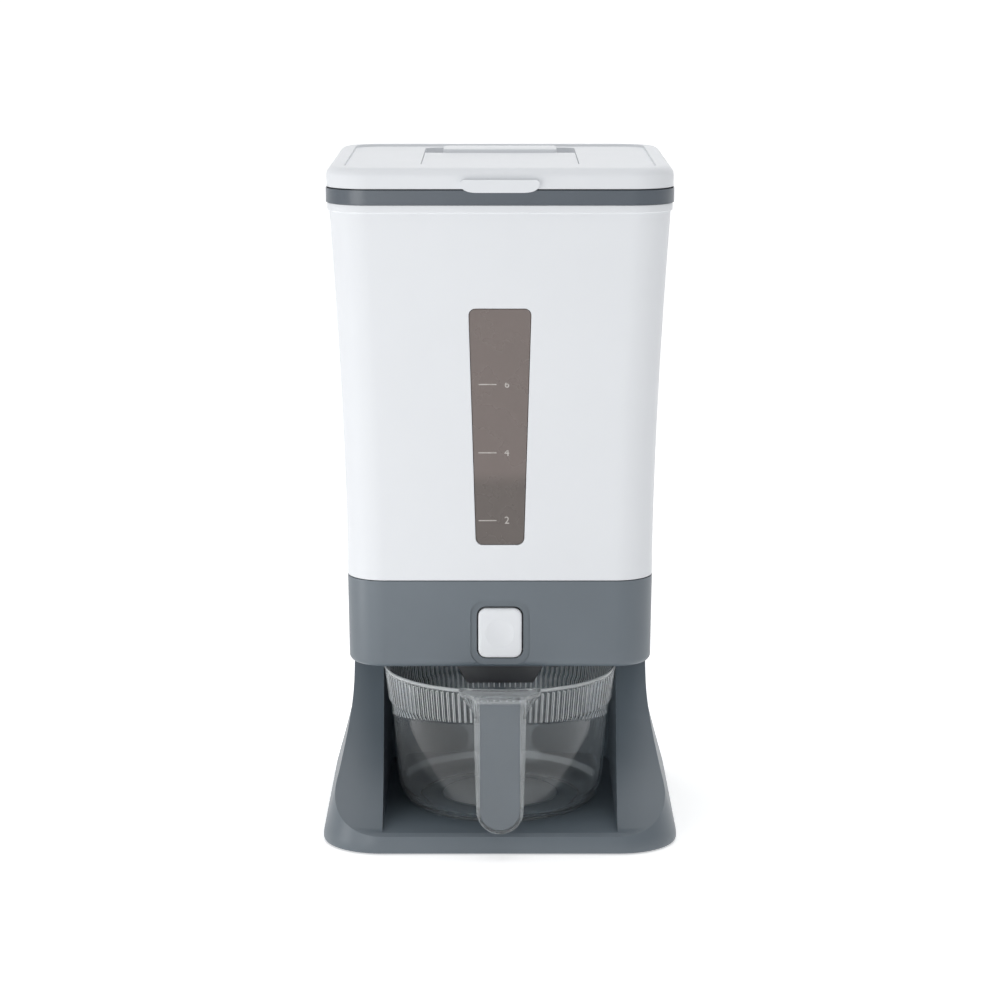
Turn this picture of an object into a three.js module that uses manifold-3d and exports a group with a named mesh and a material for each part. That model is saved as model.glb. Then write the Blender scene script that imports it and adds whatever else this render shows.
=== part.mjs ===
// Push-button dry-food dispenser: a flared stand, a grey housing with the button and gate,
// a tall white bin with a sight window, a hinged lid and a clear measuring bowl.
// Millimetres, +Z up, front towards -Y. The stand's plan is centred on X = 0, Y = STAND_Y.
import * as THREE from 'three';
import { mergeVertices } from 'three/addons/utils/BufferGeometryUtils.js';
import Module from 'manifold-3d';

const wasm = await Module();
wasm.setup();

// ---- driving dimensions ----
const STAND_Y = 9.5;            // stand's centre, so that the origin is under the whole box's centre
const GAP = 0.3;                // clearance between pieces that rest on each other
const WALL = 2.5;               // moulded wall thickness
const NECK_HALF = 110.8;        // stand's half width under the housing
const FOOT_HALF = 131.5;        // stand's half width just above the table
const NECK_RADIUS = 28;         // corner radius in plan at the neck
const FOOT_RADIUS = 44;         // corner radius in plan at the table
const STAND_TOP = 136;
const FLOOR_Z = 15.5;           // shelf that the bowl stands on
const RECESS_FLOOR_HALF = 86.3; // bowl recess, half width at the shelf
const RECESS_TOP_HALF = 88.9;   // and at the top: the walls have draft
const RECESS_BACK = 90;
const RECESS_RADIUS = 21;
const HOUSING_TOP = 201;
const HOUSING_HALF = 111.4;
const BIN_BOTTOM = HOUSING_TOP + GAP;
const BIN_TOP = 475;
const COLLAR_BOTTOM = BIN_TOP + GAP;
const COLLAR_TOP = 485.5;
const COLLAR_HALF = 124.5;
const LID_BOTTOM = 486.5;
const LID_TOP = 501;
const LID_HALF = 124;
const HINGE_Y = 127.4;          // lid hinge axis, from the stand's centre
const HINGE_Z = 482.5;
const HINGE_X = 70;
const GATE_TRAVEL = 12;
const BUTTON_HALF = 16;
const BUTTON_LOW = 144;
const BUTTON_HIGH = 181;
const SLOT_Y = -78;             // middle of the funnel's outlet slot
const BOWL_Y = -36;
const BOWL_LOW = FLOOR_Z + GAP;
const BOWL_RIM = 122;
const BOWL_RADIUS = 87.6;

// ---- solid helpers ----
function solid(geometry) {
  const bare = geometry.index ? geometry.toNonIndexed() : geometry.clone();
  bare.deleteAttribute('normal');
  bare.deleteAttribute('uv');
  const merged = mergeVertices(bare, 1e-4);
  const mesh = new wasm.Mesh({
    numProp: 3,
    vertProperties: new Float32Array(merged.attributes.position.array),
    triVerts: new Uint32Array(merged.index.array),
  });
  return new wasm.Manifold(mesh);
}

function geometryOf(manifold) {
  const mesh = manifold.getMesh();
  const geometry = new THREE.BufferGeometry();
  geometry.setAttribute('position', new THREE.BufferAttribute(new Float32Array(mesh.vertProperties), 3));
  geometry.setIndex(new THREE.BufferAttribute(new Uint32Array(mesh.triVerts), 1));
  geometry.computeVertexNormals();
  return geometry;
}

function union(...solids) {
  return solids.reduce((sum, next) => sum.add(next));
}

function box(x0, x1, y0, y1, z0, z1) {
  const geometry = new THREE.BoxGeometry(x1 - x0, y1 - y0, z1 - z0);
  geometry.translate((x0 + x1) / 2, (y0 + y1) / 2, (z0 + z1) / 2);
  return solid(geometry);
}

function cylinder(axis, radius, low, high, a, b, sides = 20) {
  const geometry = new THREE.CylinderGeometry(radius, radius, high - low, sides);
  const middle = (low + high) / 2;
  if (axis === 'x') geometry.rotateZ(Math.PI / 2).translate(middle, a, b);
  if (axis === 'y') geometry.translate(a, middle, b);
  if (axis === 'z') geometry.rotateX(Math.PI / 2).translate(a, b, middle);
  return solid(geometry);
}

// A rounded rectangle as a ring of points, counter-clockwise seen from above.
function roundedLoop(x0, x1, y0, y1, radius, steps = 5) {
  const corners = [
    [x1 - radius, y0 + radius, -90],
    [x1 - radius, y1 - radius, 0],
    [x0 + radius, y1 - radius, 90],
    [x0 + radius, y0 + radius, 180],
  ];
  const points = [];
  for (const [cx, cy, start] of corners) {
    for (let i = 0; i <= steps; i += 1) {
      const angle = THREE.MathUtils.degToRad(start + (90 * i) / steps);
      points.push([cx + radius * Math.cos(angle), cy + radius * Math.sin(angle)]);
    }
  }
  return points;
}

function level(z, x0, x1, y0, y1, radius, steps) {
  return roundedLoop(x0, x1, y0, y1, radius, steps).map(([x, y]) => [x, y, z]);
}

function squareLevel(z, half, radius, steps) {
  return level(z, -half, half, -half, half, radius, steps);
}

// A closed skin through rings of points that all have the same count, lowest ring first.
function loft(rings) {
  const count = rings[0].length;
  const points = rings.flat();
  const faces = [];
  for (let r = 0; r + 1 < rings.length; r += 1) {
    for (let i = 0; i < count; i += 1) {
      const a = r * count + i;
      const b = r * count + ((i + 1) % count);
      faces.push(a, b, b + count, a, b + count, a + count);
    }
  }
  const centre = (ring) => ring.reduce((s, p) => s.map((v, k) => v + p[k] / count), [0, 0, 0]);
  const low = points.push(centre(rings[0])) - 1;
  const high = points.push(centre(rings[rings.length - 1])) - 1;
  const top = (rings.length - 1) * count;
  for (let i = 0; i < count; i += 1) {
    const next = (i + 1) % count;
    faces.push(low, next, i, high, top + i, top + next);
  }
  const geometry = new THREE.BufferGeometry();
  geometry.setAttribute('position', new THREE.Float32BufferAttribute(points.flat(), 3));
  geometry.setIndex(faces);
  return solid(geometry);
}

function roundedBlock(x0, x1, y0, y1, z0, z1, radius, steps) {
  return loft([level(z0, x0, x1, y0, y1, radius, steps), level(z1, x0, x1, y0, y1, radius, steps)]);
}

function squareRing(outerHalf, innerHalf, z0, z1, outerRadius) {
  const innerRadius = Math.max(outerRadius - (outerHalf - innerHalf), 1);
  const outer = loft([squareLevel(z0, outerHalf, outerRadius), squareLevel(z1, outerHalf, outerRadius)]);
  const inner = loft([
    squareLevel(z0 - 1, innerHalf, innerRadius),
    squareLevel(z1 + 1, innerHalf, innerRadius),
  ]);
  return outer.subtract(inner);
}

// An outline drawn in X and Z, made solid between two Y planes.
function frontPrism(points, y0, y1) {
  const shape = new THREE.Shape(points.map(([x, z]) => new THREE.Vector2(x, z)));
  const geometry = new THREE.ExtrudeGeometry(shape, { depth: y1 - y0, bevelEnabled: false });
  geometry.rotateX(Math.PI / 2).translate(0, y1, 0);
  return solid(geometry);
}

function lathe(profile, sides) {
  const geometry = new THREE.LatheGeometry(profile.map(([r, z]) => new THREE.Vector2(r, z)), sides);
  geometry.rotateX(Math.PI / 2);
  return solid(geometry);
}

function mirroredX(make) {
  return [-1, 1].map((side) => make(side));
}

// ---- stand ----
// Height and half width of the flare, from the table to the neck.
const FLARE = [
  [1, 130.8], [3, FOOT_HALF], [8, 131], [14, 129.5], [24, 126.8], [36, 123.5],
  [58, 117.9], [82, 113.1], [104, NECK_HALF], [STAND_TOP, NECK_HALF],
];
const RAMP_RADIUS = 302.3;      // the arms' front edges are a long concave arc, seen from the side
const RAMP_CENTRE_Y = -274.4;
const RAMP_CENTRE_Z = 278.8;

function flareRadius(half) {
  return NECK_RADIUS + ((half - NECK_HALF) / (FOOT_HALF - NECK_HALF)) * (FOOT_RADIUS - NECK_RADIUS);
}

// The stand's outer form, shrunk by an inset on every side; an inset one is open at the table.
function standBody(inset) {
  const rings = FLARE.map(([z, half]) => squareLevel(z, half - inset, flareRadius(half) - inset, 6));
  if (inset > 0) {
    rings[0] = squareLevel(-5, FLARE[0][1] - inset, FOOT_RADIUS - inset, 6);
    rings[rings.length - 1] = squareLevel(STAND_TOP - inset, NECK_HALF - inset, NECK_RADIUS - inset, 6);
  }
  const ramp = cylinder('x', RAMP_RADIUS + inset, -200, 200, RAMP_CENTRE_Y, RAMP_CENTRE_Z, 100);
  const recess = loft([
    level(FLOOR_Z - inset, -RECESS_FLOOR_HALF - inset, RECESS_FLOOR_HALF + inset, -220,
      RECESS_BACK + inset, RECESS_RADIUS + inset),
    level(STAND_TOP + 5, -RECESS_TOP_HALF - inset, RECESS_TOP_HALF + inset, -220,
      RECESS_BACK + inset, RECESS_RADIUS + inset),
  ]);
  return loft(rings).subtract(ramp).subtract(recess);
}

const FOOT_PLACE = 96;
const FOOT_SPOTS = {
  front_left: [-FOOT_PLACE, -FOOT_PLACE], front_right: [FOOT_PLACE, -FOOT_PLACE],
  rear_left: [-FOOT_PLACE, FOOT_PLACE], rear_right: [FOOT_PLACE, FOOT_PLACE],
};
const STAND_SCREW_SPOTS = {
  arm_left: [-100, 30], arm_right: [100, 30], rear_left: [-45, 100.5], rear_right: [45, 100.5],
};

function baseShell() {
  const outer = standBody(0);
  let shell = outer.subtract(standBody(WALL));
  for (const [x, y] of Object.values(FOOT_SPOTS)) {
    shell = shell.add(cylinder('z', 10.5, 1.2, STAND_TOP - 0.5, x, y, 24).intersect(outer));
    shell = shell.subtract(cylinder('z', 8.8, -1, 4.3, x, y, 24));
    shell = shell.subtract(cylinder('z', 6, 4, 24, x, y, 16));
  }
  for (const [x, y] of Object.values(STAND_SCREW_SPOTS)) {
    shell = shell.subtract(cylinder('z', 2.1, STAND_TOP - 5, STAND_TOP + 1, x, y, 16));
  }
  return shell;
}

function rubberFoot([x, y]) {
  const pad = cylinder('z', 8.5, 0, 4, x, y, 24);
  return pad.add(cylinder('z', 5.6, 3.9, 8, x, y, 16));
}

function panScrew(x, y, headLow, headHigh, tip, headRadius, shankRadius) {
  const head = cylinder('z', headRadius, headLow, headHigh, x, y, 16);
  const shank = cylinder('z', shankRadius, headHigh - 0.1, tip, x, y, 12);
  const drive = cylinder('z', headRadius * 0.35, headLow - 1, headLow + 0.7, x, y, 6);
  return head.add(shank).subtract(drive);
}

// ---- housing ----
const HOUSING_LOW = STAND_TOP + GAP;
const HOUSING_FLOOR = HOUSING_LOW + WALL;
const LEDGE_LOW = 189;
const LEDGE_TOP = 191.5;
const CHUTE_HALF = 34.5;
const CHUTE_FRONT = -104.3;
const CHUTE_BACK = -58;
const CHUTE_SCREW_SPOTS = {
  front_left: [-40.5, -99], front_right: [40.5, -99], rear_left: [-40.5, -62], rear_right: [40.5, -62],
};
const SPRING_X = 50;
const SPRING_BACK = -72.5;

function dispenserHousing() {
  const edge = 5;
  const outerRings = [90, 60, 30, 0].map((degrees) => {
    const angle = THREE.MathUtils.degToRad(degrees);
    const half = HOUSING_HALF - 0.4 - edge * (1 - Math.cos(angle));
    return squareLevel(HOUSING_LOW + edge * (1 - Math.sin(angle)), half,
      NECK_RADIUS - (HOUSING_HALF - half), 6);
  });
  outerRings.push(squareLevel(HOUSING_TOP, HOUSING_HALF + 0.4, NECK_RADIUS, 6));
  const inner = loft([
    squareLevel(HOUSING_FLOOR, HOUSING_HALF - 2.8, NECK_RADIUS - WALL),
    squareLevel(HOUSING_TOP + 1, HOUSING_HALF - 2, NECK_RADIUS - WALL),
  ]);
  let shell = loft(outerRings).subtract(inner);
  shell = shell.add(squareRing(HOUSING_HALF - 1.5, 103.5, LEDGE_LOW, LEDGE_TOP, NECK_RADIUS - 2));
  shell = shell.subtract(box(-CHUTE_HALF - 0.5, CHUTE_HALF + 0.5, CHUTE_FRONT - 0.5, CHUTE_BACK + 0.5, 130, 140));
  // Button hole, with a shallow rounded field around it.
  const hole = rectangleOutline(BUTTON_HALF + 0.9, BUTTON_LOW - 0.9, BUTTON_HIGH + 0.9, 6.9);
  const field = rectangleOutline(21.5, 138.7, 186.3, 10);
  shell = shell.subtract(frontPrism(hole, -120, -100));
  shell = shell.subtract(frontPrism(field, -120, -HOUSING_HALF + 0.7));
  for (const [x, y] of Object.values(STAND_SCREW_SPOTS)) {
    shell = shell.add(cylinder('z', 4.5, HOUSING_FLOOR - 1, 150, x, y, 16));
    shell = shell.subtract(cylinder('z', 2.1, 130, 147, x, y, 16));
  }
  for (const [x, y] of Object.values(CHUTE_SCREW_SPOTS)) {
    shell = shell.subtract(cylinder('z', 1.7, 130, 140, x, y, 12));
  }
  for (const side of [-1, 1]) {
    const x = side * SPRING_X;
    shell = shell.add(box(x - 4, x + 4, SPRING_BACK + 0.5, SPRING_BACK + 3.5, HOUSING_FLOOR - 1, 152));
  }
  return shell;
}

function rectangleOutline(half, low, high, radius) {
  return roundedLoop(-half, half, low, high, radius, 6);
}

// ---- button and gate ----
const BUTTON_FRONT = -113.1;
const BUTTON_BACK = -105.5;
const GATE_LOW = 142.8;
const GATE_TOP = 145.2;
const GATE_FRONT = -104.5;
const GATE_BACK = -60;

function buttonCap() {
  const edge = 1.2;
  const outline = (grow) => rectangleOutline(BUTTON_HALF + grow, BUTTON_LOW - grow, BUTTON_HIGH + grow, 6 + grow);
  const ring = (grow, y) => outline(grow).map(([x, z]) => [x, z, -y]);
  const outer = loft([
    ring(0, BUTTON_BACK), ring(0, BUTTON_FRONT + edge),
    ring(-0.4, BUTTON_FRONT + 0.35), ring(-edge, BUTTON_FRONT),
  ]).rotate([90, 0, 0]);
  const inside = frontPrism(outline(-2), BUTTON_FRONT + 2.4, 0);
  const dimple = new THREE.SphereGeometry(80, 72, 48);
  dimple.translate(0, BUTTON_FRONT - 79.2, (BUTTON_LOW + BUTTON_HIGH) / 2);
  return outer.subtract(inside).subtract(solid(dimple));
}

function gateSlide() {
  const plate = box(-36, 36, GATE_FRONT, GATE_BACK, GATE_LOW, GATE_TOP);
  const apertureY = SLOT_Y - GATE_TRAVEL - 1;
  const aperture = box(-28, 28, apertureY - 6, apertureY + 6, GATE_LOW - 1, GATE_TOP + 1);
  const wings = box(-54, 54, GATE_FRONT, GATE_FRONT + 2.5, GATE_LOW, 151);
  const middleCut = box(-34, 34, GATE_FRONT - 1, GATE_FRONT + 3, GATE_TOP, 153);
  const riser = box(-10, 10, GATE_FRONT, GATE_FRONT + 3, GATE_LOW, 152);
  const arm = box(-10, 10, -110, GATE_FRONT + 1, 148.5, 152);
  const pusher = roundedBlock(-13, 13, -110.3, -107.8, 148.5, 177, 1);
  return union(plate.subtract(aperture), wings.subtract(middleCut), riser, arm, pusher);
}

function gateSpring(side) {
  const turns = 8;
  const coilRadius = 2.9;
  const wire = 0.45;
  const front = GATE_FRONT + 2.8;
  class Coil extends THREE.Curve {
    getPoint(t) {
      const angle = 2 * Math.PI * turns * t;
      const y = front + wire + t * (SPRING_BACK - front - 2 * wire);
      return new THREE.Vector3(
        side * SPRING_X + coilRadius * Math.cos(angle), y, 147 + coilRadius * Math.sin(angle));
    }
  }
  const section = new THREE.Shape();
  section.absarc(0, 0, wire, 0, 2 * Math.PI);
  const geometry = new THREE.ExtrudeGeometry(section, {
    steps: turns * 10, curveSegments: 2, bevelEnabled: false, extrudePath: new Coil(),
  });
  return solid(geometry);
}

// ---- chute ----
const CHUTE_LOW = 123.2;
const FLANGE_LOW = HOUSING_FLOOR + GAP;
const FLANGE_TOP = 142.4;

function outletChute() {
  const flange = roundedBlock(-44, 44, -106.2, -57, FLANGE_LOW, FLANGE_TOP, 3, 3);
  const spout = (inset, low, high) => loft([
    level(low, -24.6 + inset, 24.6 - inset, CHUTE_FRONT + inset, -74 - inset, 2, 3),
    level(high, -CHUTE_HALF + inset, CHUTE_HALF - inset, CHUTE_FRONT + inset, CHUTE_BACK - inset, 2, 3),
  ]);
  let chute = flange.add(spout(0, CHUTE_LOW, FLANGE_LOW + 1));
  chute = chute.subtract(spout(2, CHUTE_LOW - 0.01, FLANGE_TOP + 0.01));
  for (const side of [-1, 1]) {
    const x = [side * 36.5, side * 38.6].sort((a, b) => a - b);
    const lip = [side * 33, side * 38.6].sort((a, b) => a - b);
    chute = chute.add(box(x[0], x[1], -88.5, -57.5, FLANGE_TOP - 0.5, 147.6));
    chute = chute.add(box(lip[0], lip[1], -88.5, -57.5, 145.6, 147.6));
  }
  for (const [x, y] of Object.values(CHUTE_SCREW_SPOTS)) {
    chute = chute.subtract(cylinder('z', 1.7, 130, 150, x, y, 12));
  }
  return chute;
}

// ---- hopper ----
const THROAT_LOW = 146;
const THROAT_TOP = 151;
const RIM_FRONT_Z = 193.8;
const RIM_REAR_Z = 250;
const RIM_HALF = 105.8;
const RIM_REAR = 109.3;

// The hopper's rim climbs from the front to the rear, so the floor slopes down to the front slot.
function rimHeight(y) {
  return RIM_FRONT_Z + ((y + RIM_HALF) / (RIM_REAR + RIM_HALF)) * (RIM_REAR_Z - RIM_FRONT_Z);
}

function hopperSolid(inset, lift, bottom, skirt) {
  const steps = 5;
  const throat = (z) => level(z, -31 + inset, 31 - inset, -86.2 + inset, -69.8 - inset, 3 - inset / 2, steps);
  const rim = roundedLoop(-RIM_HALF + inset, RIM_HALF - inset, -RIM_HALF + inset, RIM_REAR - inset,
    22 - inset, steps);
  const shoulder = roundedLoop(-86 + inset, 86 - inset, -88.5 + inset, 62 - inset, 14 - inset, steps);
  const shoulderRing = shoulder.map(([x, y], i) => {
    const z = THROAT_TOP + 0.75 * (rimHeight(rim[i][1]) - THROAT_TOP) + lift;
    return [x, y, z];
  });
  const rimRing = (rise) => rim.map(([x, y]) => [x, y, rimHeight(y) + rise]);
  return loft([throat(bottom), throat(THROAT_TOP + lift), shoulderRing, rimRing(lift), rimRing(skirt)]);
}

function hopperFunnel() {
  const flangeLow = LEDGE_TOP + GAP;
  const outer = hopperSolid(0, 0, THROAT_LOW, 3);
  const flange = roundedBlock(-106, 106, -106, 106, flangeLow, flangeLow + 2, 23);
  const hollow = hopperSolid(2, 2, THROAT_LOW - 1, 60);
  return outer.add(flange).subtract(hollow);
}

// ---- bin ----
const BIN_FLARE_TOP = 468;
const BIN_FOOT_HALF = 111.7;
const BIN_FLARE = 10.4;         // how much wider the bin is on each side at the top of its flare

function binHalf(z) {
  return BIN_FOOT_HALF + BIN_FLARE * ((z - BIN_BOTTOM) / (BIN_FLARE_TOP - BIN_BOTTOM)) ** 1.7;
}

function binBody(inset, low, high) {
  const steps = 9;
  const rings = [squareLevel(low, BIN_FOOT_HALF - inset, NECK_RADIUS - inset, 6)];
  for (let i = 1; i <= steps; i += 1) {
    const z = BIN_BOTTOM + ((BIN_FLARE_TOP - BIN_BOTTOM) * i) / steps;
    rings.push(squareLevel(z, binHalf(z) - inset, NECK_RADIUS - inset, 6));
  }
  rings.push(squareLevel(high, 122.4 - inset, NECK_RADIUS - inset, 6));
  return loft(rings);
}

function windowOutline(grow) {
  const low = 228 - grow;
  const high = 401 + grow;
  const radius = 5 + grow;
  const half = (z) => 17.5 + grow + ((z - low) / (high - low)) * 5;
  return roundedLoop(-1, 1, low, high, 1, 5).map((_, i, all) => {
    const steps = all.length / 4;
    const corner = Math.floor(i / steps);
    const angle = THREE.MathUtils.degToRad(-90 + 90 * corner + (90 * (i % steps)) / (steps - 1));
    const atTop = corner === 1 || corner === 2;
    const right = corner < 2 ? 1 : -1;
    const z = (atTop ? high - radius : low + radius) + radius * Math.sin(angle);
    return [right * (half(z) - radius) + radius * Math.cos(angle), z];
  });
}

function binShell() {
  let shell = binBody(0, BIN_BOTTOM, BIN_TOP);
  shell = shell.add(squareRing(123.5, 118, 469.5, BIN_TOP, NECK_RADIUS + 1.5));
  shell = shell.add(loft([
    squareLevel(194.3, 108.9, NECK_RADIUS - 2.8), squareLevel(BIN_BOTTOM + 1, 108.9, NECK_RADIUS - 2.8),
  ]));
  const cavity = binBody(WALL, BIN_BOTTOM + 2.2, BIN_TOP + 1);
  const mouth = loft([squareLevel(190, 106.5, 23), squareLevel(BIN_BOTTOM + 3, 106.5, 23)]);
  return shell.subtract(cavity).subtract(mouth).subtract(frontPrism(windowOutline(0), -130, -100));
}

function sightWindow() {
  const pane = binBody(0.4, BIN_BOTTOM, BIN_TOP).subtract(binBody(3.4, BIN_BOTTOM - 1, BIN_TOP + 1));
  const flange = binBody(2.8, BIN_BOTTOM, BIN_TOP).subtract(binBody(4.4, BIN_BOTTOM - 1, BIN_TOP + 1));
  const front = pane.intersect(frontPrism(windowOutline(-0.35), -130, -95));
  return front.add(flange.intersect(frontPrism(windowOutline(3), -130, -95)));
}

// ---- collar, hinge and lid ----
const EAR_INNER = 7.4;
const EAR_OUTER = 11;
const KNUCKLE_RADIUS = 2.6;
const PIN_RADIUS = 1.2;
const PIN_HOLE = 1.5;

function collarRing() {
  const radius = NECK_RADIUS + 2.5;
  let ring = union(
    squareRing(COLLAR_HALF, 120, COLLAR_BOTTOM, COLLAR_TOP, radius),
    squareRing(121, 117.2, COLLAR_BOTTOM, 477.8, radius - 3.5),
    squareRing(118.8, 117.2, 463, 476, radius - 5.7),
  );
  for (const side of [-1, 1]) {
    for (const [a, b] of [[EAR_INNER, EAR_OUTER], [-EAR_OUTER, -EAR_INNER]]) {
      const x = side * HINGE_X;
      const low = HINGE_Z - KNUCKLE_RADIUS;
      ring = ring.add(box(x + a, x + b, 123, HINGE_Y, low, HINGE_Z + KNUCKLE_RADIUS));
      ring = ring.add(cylinder('x', KNUCKLE_RADIUS, x + a, x + b, HINGE_Y, HINGE_Z, 20));
      ring = ring.subtract(cylinder('x', PIN_HOLE, x + a - 0.5, x + b + 0.5, HINGE_Y, HINGE_Z, 16));
    }
  }
  return ring;
}

function hingePin(side) {
  const x = side * HINGE_X;
  const shaft = cylinder('x', PIN_RADIUS, x - EAR_OUTER - 1, x + EAR_OUTER + 1, HINGE_Y, HINGE_Z, 16);
  const heads = [[-EAR_OUTER - 1.4, -EAR_OUTER - 0.3], [EAR_OUTER + 0.3, EAR_OUTER + 1.4]];
  return heads.reduce(
    (pin, [a, b]) => pin.add(cylinder('x', 2.2, x + a, x + b, HINGE_Y, HINGE_Z, 16)), shaft);
}

// The desiccant well in the lid.
const WELL_HALF = 57.5;
const WELL_FRONT = -70;
const WELL_REAR = 98;
const WELL_FLOOR = 494.2;
const BASKET_HALF = 40;
const BASKET_FRONT = -42;
const BASKET_REAR = 46;

// The finger tab's front outline: a straight lower edge with round corners.
function tabOutline() {
  const corner = new THREE.QuadraticBezierCurve(
    new THREE.Vector2(16.5, 484.2), new THREE.Vector2(27, 484.4), new THREE.Vector2(27.8, 489.6));
  const right = [...corner.getPoints(6).map((p) => [p.x, p.y]), [27.8, 491.6], [26.2, 493.2]];
  const left = right.map(([x, z]) => [-x, z]).reverse();
  return [...right, ...left];
}

const LID_EDGE_RISE = 6;        // the upper edge is a quarter of an ellipse, this high
const LID_EDGE_RUN = 7;         // and this wide

function lidOutside(radius) {
  const rings = [squareLevel(LID_BOTTOM, LID_HALF, radius, 6)];
  for (let i = 0; i <= 4; i += 1) {
    const angle = (Math.PI / 8) * i;
    const inset = LID_EDGE_RUN * (1 - Math.cos(angle));
    const z = LID_TOP - LID_EDGE_RISE * (1 - Math.sin(angle));
    rings.push(squareLevel(z, LID_HALF - inset, radius - inset, 6));
  }
  return loft(rings);
}

function lidShell() {
  const radius = NECK_RADIUS + 2;
  let lid = lidOutside(radius);
  lid = lid.subtract(loft([
    squareLevel(LID_BOTTOM - 1, LID_HALF - 2.4, radius - 2.4, 6),
    squareLevel(496.7, LID_HALF - 2.4, radius - 2.4, 6),
  ]));
  lid = lid.subtract(loft([squareLevel(499.3, 111, 18), squareLevel(503, 111.8, 18.8)]));
  lid = lid.add(squareRing(116.8, 114.6, 478.5, 497.5, NECK_RADIUS - 5));
  lid = lid.add(roundedBlock(-WELL_HALF - 2.2, WELL_HALF + 2.2, WELL_FRONT - 2.2, WELL_REAR + 2.2,
    WELL_FLOOR - 2, 498, 12));
  lid = lid.subtract(roundedBlock(-WELL_HALF, WELL_HALF, WELL_FRONT, WELL_REAR, WELL_FLOOR, 505, 10));
  lid = lid.subtract(roundedBlock(-BASKET_HALF - 0.4, BASKET_HALF + 0.4, BASKET_FRONT - 0.4,
    BASKET_REAR + 0.4, 485, 500, 6));
  const tab = tabOutline();
  lid = lid.add(frontPrism(tab, -128.2, -125).add(
    frontPrism(tab, -126, -123).intersect(box(-40, 40, -127, -120, LID_BOTTOM + 0.3, 494))));
  for (const side of [-1, 1]) {
    const x = side * HINGE_X;
    const back = HINGE_Y + KNUCKLE_RADIUS;
    lid = lid.add(cylinder('x', KNUCKLE_RADIUS, x - 7, x + 7, HINGE_Y, HINGE_Z, 20));
    lid = lid.add(box(x - 7, x + 7, HINGE_Y - KNUCKLE_RADIUS, back, HINGE_Z, 490));
    lid = lid.add(box(x - 7, x + 7, LID_HALF - 1, back, LID_BOTTOM + 0.5, 490));
    lid = lid.subtract(cylinder('x', PIN_HOLE, x - 8, x + 8, HINGE_Y, HINGE_Z, 16));
  }
  return lid;
}

function lidSeal() {
  return squareRing(119, 117.1, 479.5, 482.5, NECK_RADIUS - 3.4);
}

const GRIP_HALF = 43.5;
const GRIP_FRONT = 60;

function desiccantCover() {
  const rear = WELL_REAR - 0.6;
  const half = WELL_HALF - 0.6;
  const low = WELL_FLOOR + 2;
  const plate = roundedBlock(-half, half, WELL_FRONT + 0.6, rear, WELL_FLOOR + GAP, low + 2, 9.4);
  const under = roundedBlock(-half + 2, half - 2, WELL_FRONT + 2.6, rear - 2, 490, low, 7.4);
  let cover = plate.subtract(under);
  for (const side of [-1, 1]) {
    const x = [side * GRIP_HALF, side * 60].sort((a, b) => a - b);
    cover = cover.subtract(box(x[0], x[1], GRIP_FRONT, 110, 490, low + 4));
  }
  const grip = loft([
    level(low, -GRIP_HALF, GRIP_HALF, GRIP_FRONT, rear, 4),
    level(LID_TOP - 1.2, -GRIP_HALF, GRIP_HALF, GRIP_FRONT, rear, 4),
    level(LID_TOP, -GRIP_HALF + 1.2, GRIP_HALF - 1.2, GRIP_FRONT + 1.2, rear - 1.2, 2.8),
  ]);
  return cover.add(grip);
}

function desiccantBasket() {
  const flangeLow = WELL_FLOOR + GAP;
  let basket = roundedBlock(-BASKET_HALF - 3, BASKET_HALF + 3, BASKET_FRONT - 3, BASKET_REAR + 3,
    flangeLow, flangeLow + 1.2, 8);
  basket = basket.add(roundedBlock(-BASKET_HALF, BASKET_HALF, BASKET_FRONT, BASKET_REAR, 479.5,
    flangeLow + 1, 5.6));
  basket = basket.subtract(roundedBlock(-BASKET_HALF + 1.6, BASKET_HALF - 1.6, BASKET_FRONT + 1.6,
    BASKET_REAR - 1.6, 481.1, 500, 4));
  for (let i = -3; i <= 3; i += 1) {
    for (const middle of [-20, 24]) {
      basket = basket.subtract(box(i * 10 - 2, i * 10 + 2, middle - 15, middle + 15, 470, 485));
    }
  }
  return basket;
}

// A soft pillow of drying agent that lies in the basket.
function desiccantSachet() {
  const ring = (z, inset) => level(z, -34 + inset, 34 - inset, -36 + inset, 40 - inset, 8 - inset);
  return loft([ring(481.5, 3), ring(483.6, 0.5), ring(485, 0), ring(486.4, 0.5), ring(488.5, 3)]);
}

// ---- measuring bowl ----
const HANDLE_FRONT = -150.5;
const HANDLE_LOW = 21.6;

// Outer profile up to the rim, then the inner one back to the middle: radius and height.
const BOWL_OUTSIDE = [
  [0, 17.3], [60, 17.3], [61, BOWL_LOW], [66, BOWL_LOW], [72, 20.2], [75.3, 27], [77.6, 37],
  [80.1, 72], [81, 90], [83.5, 96], [86.3, 119], [BOWL_RADIUS, 120], [BOWL_RADIUS, BOWL_RIM],
];
const BOWL_INSIDE = [
  [85.4, BOWL_RIM], [84.2, 118.5], [81.5, 96.5], [79, 91], [78, 72], [75.5, 37.5],
  [72.9, 28], [69.5, 22.6], [64.5, 20.3], [0, 20.3],
];
const BOWL_SIDES = 48;

function bowlVoid() {
  const inner = [...BOWL_INSIDE].reverse();
  return lathe([...inner, [85.4, BOWL_RIM + 10], [0, BOWL_RIM + 10]], BOWL_SIDES);
}

const HANDLE_DEPTH = 11;
const HANDLE_END = 17.1;        // half width at the handle's round lower end
const INSERT_HALF = 14.4;

// A tongue's front outline: a round lower end, straight sides and a flat top.
function tongueOutline(end, endZ, sides) {
  const points = [];
  for (let i = 0; i <= 12; i += 1) {
    const angle = Math.PI + (Math.PI * i) / 12;
    points.push([end * Math.cos(angle), endZ + end * Math.sin(angle)]);
  }
  const right = sides.map(([x, z]) => [x, z]);
  const left = sides.map(([x, z]) => [-x, z]).reverse();
  return [...points, ...right, ...left];
}

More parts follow.
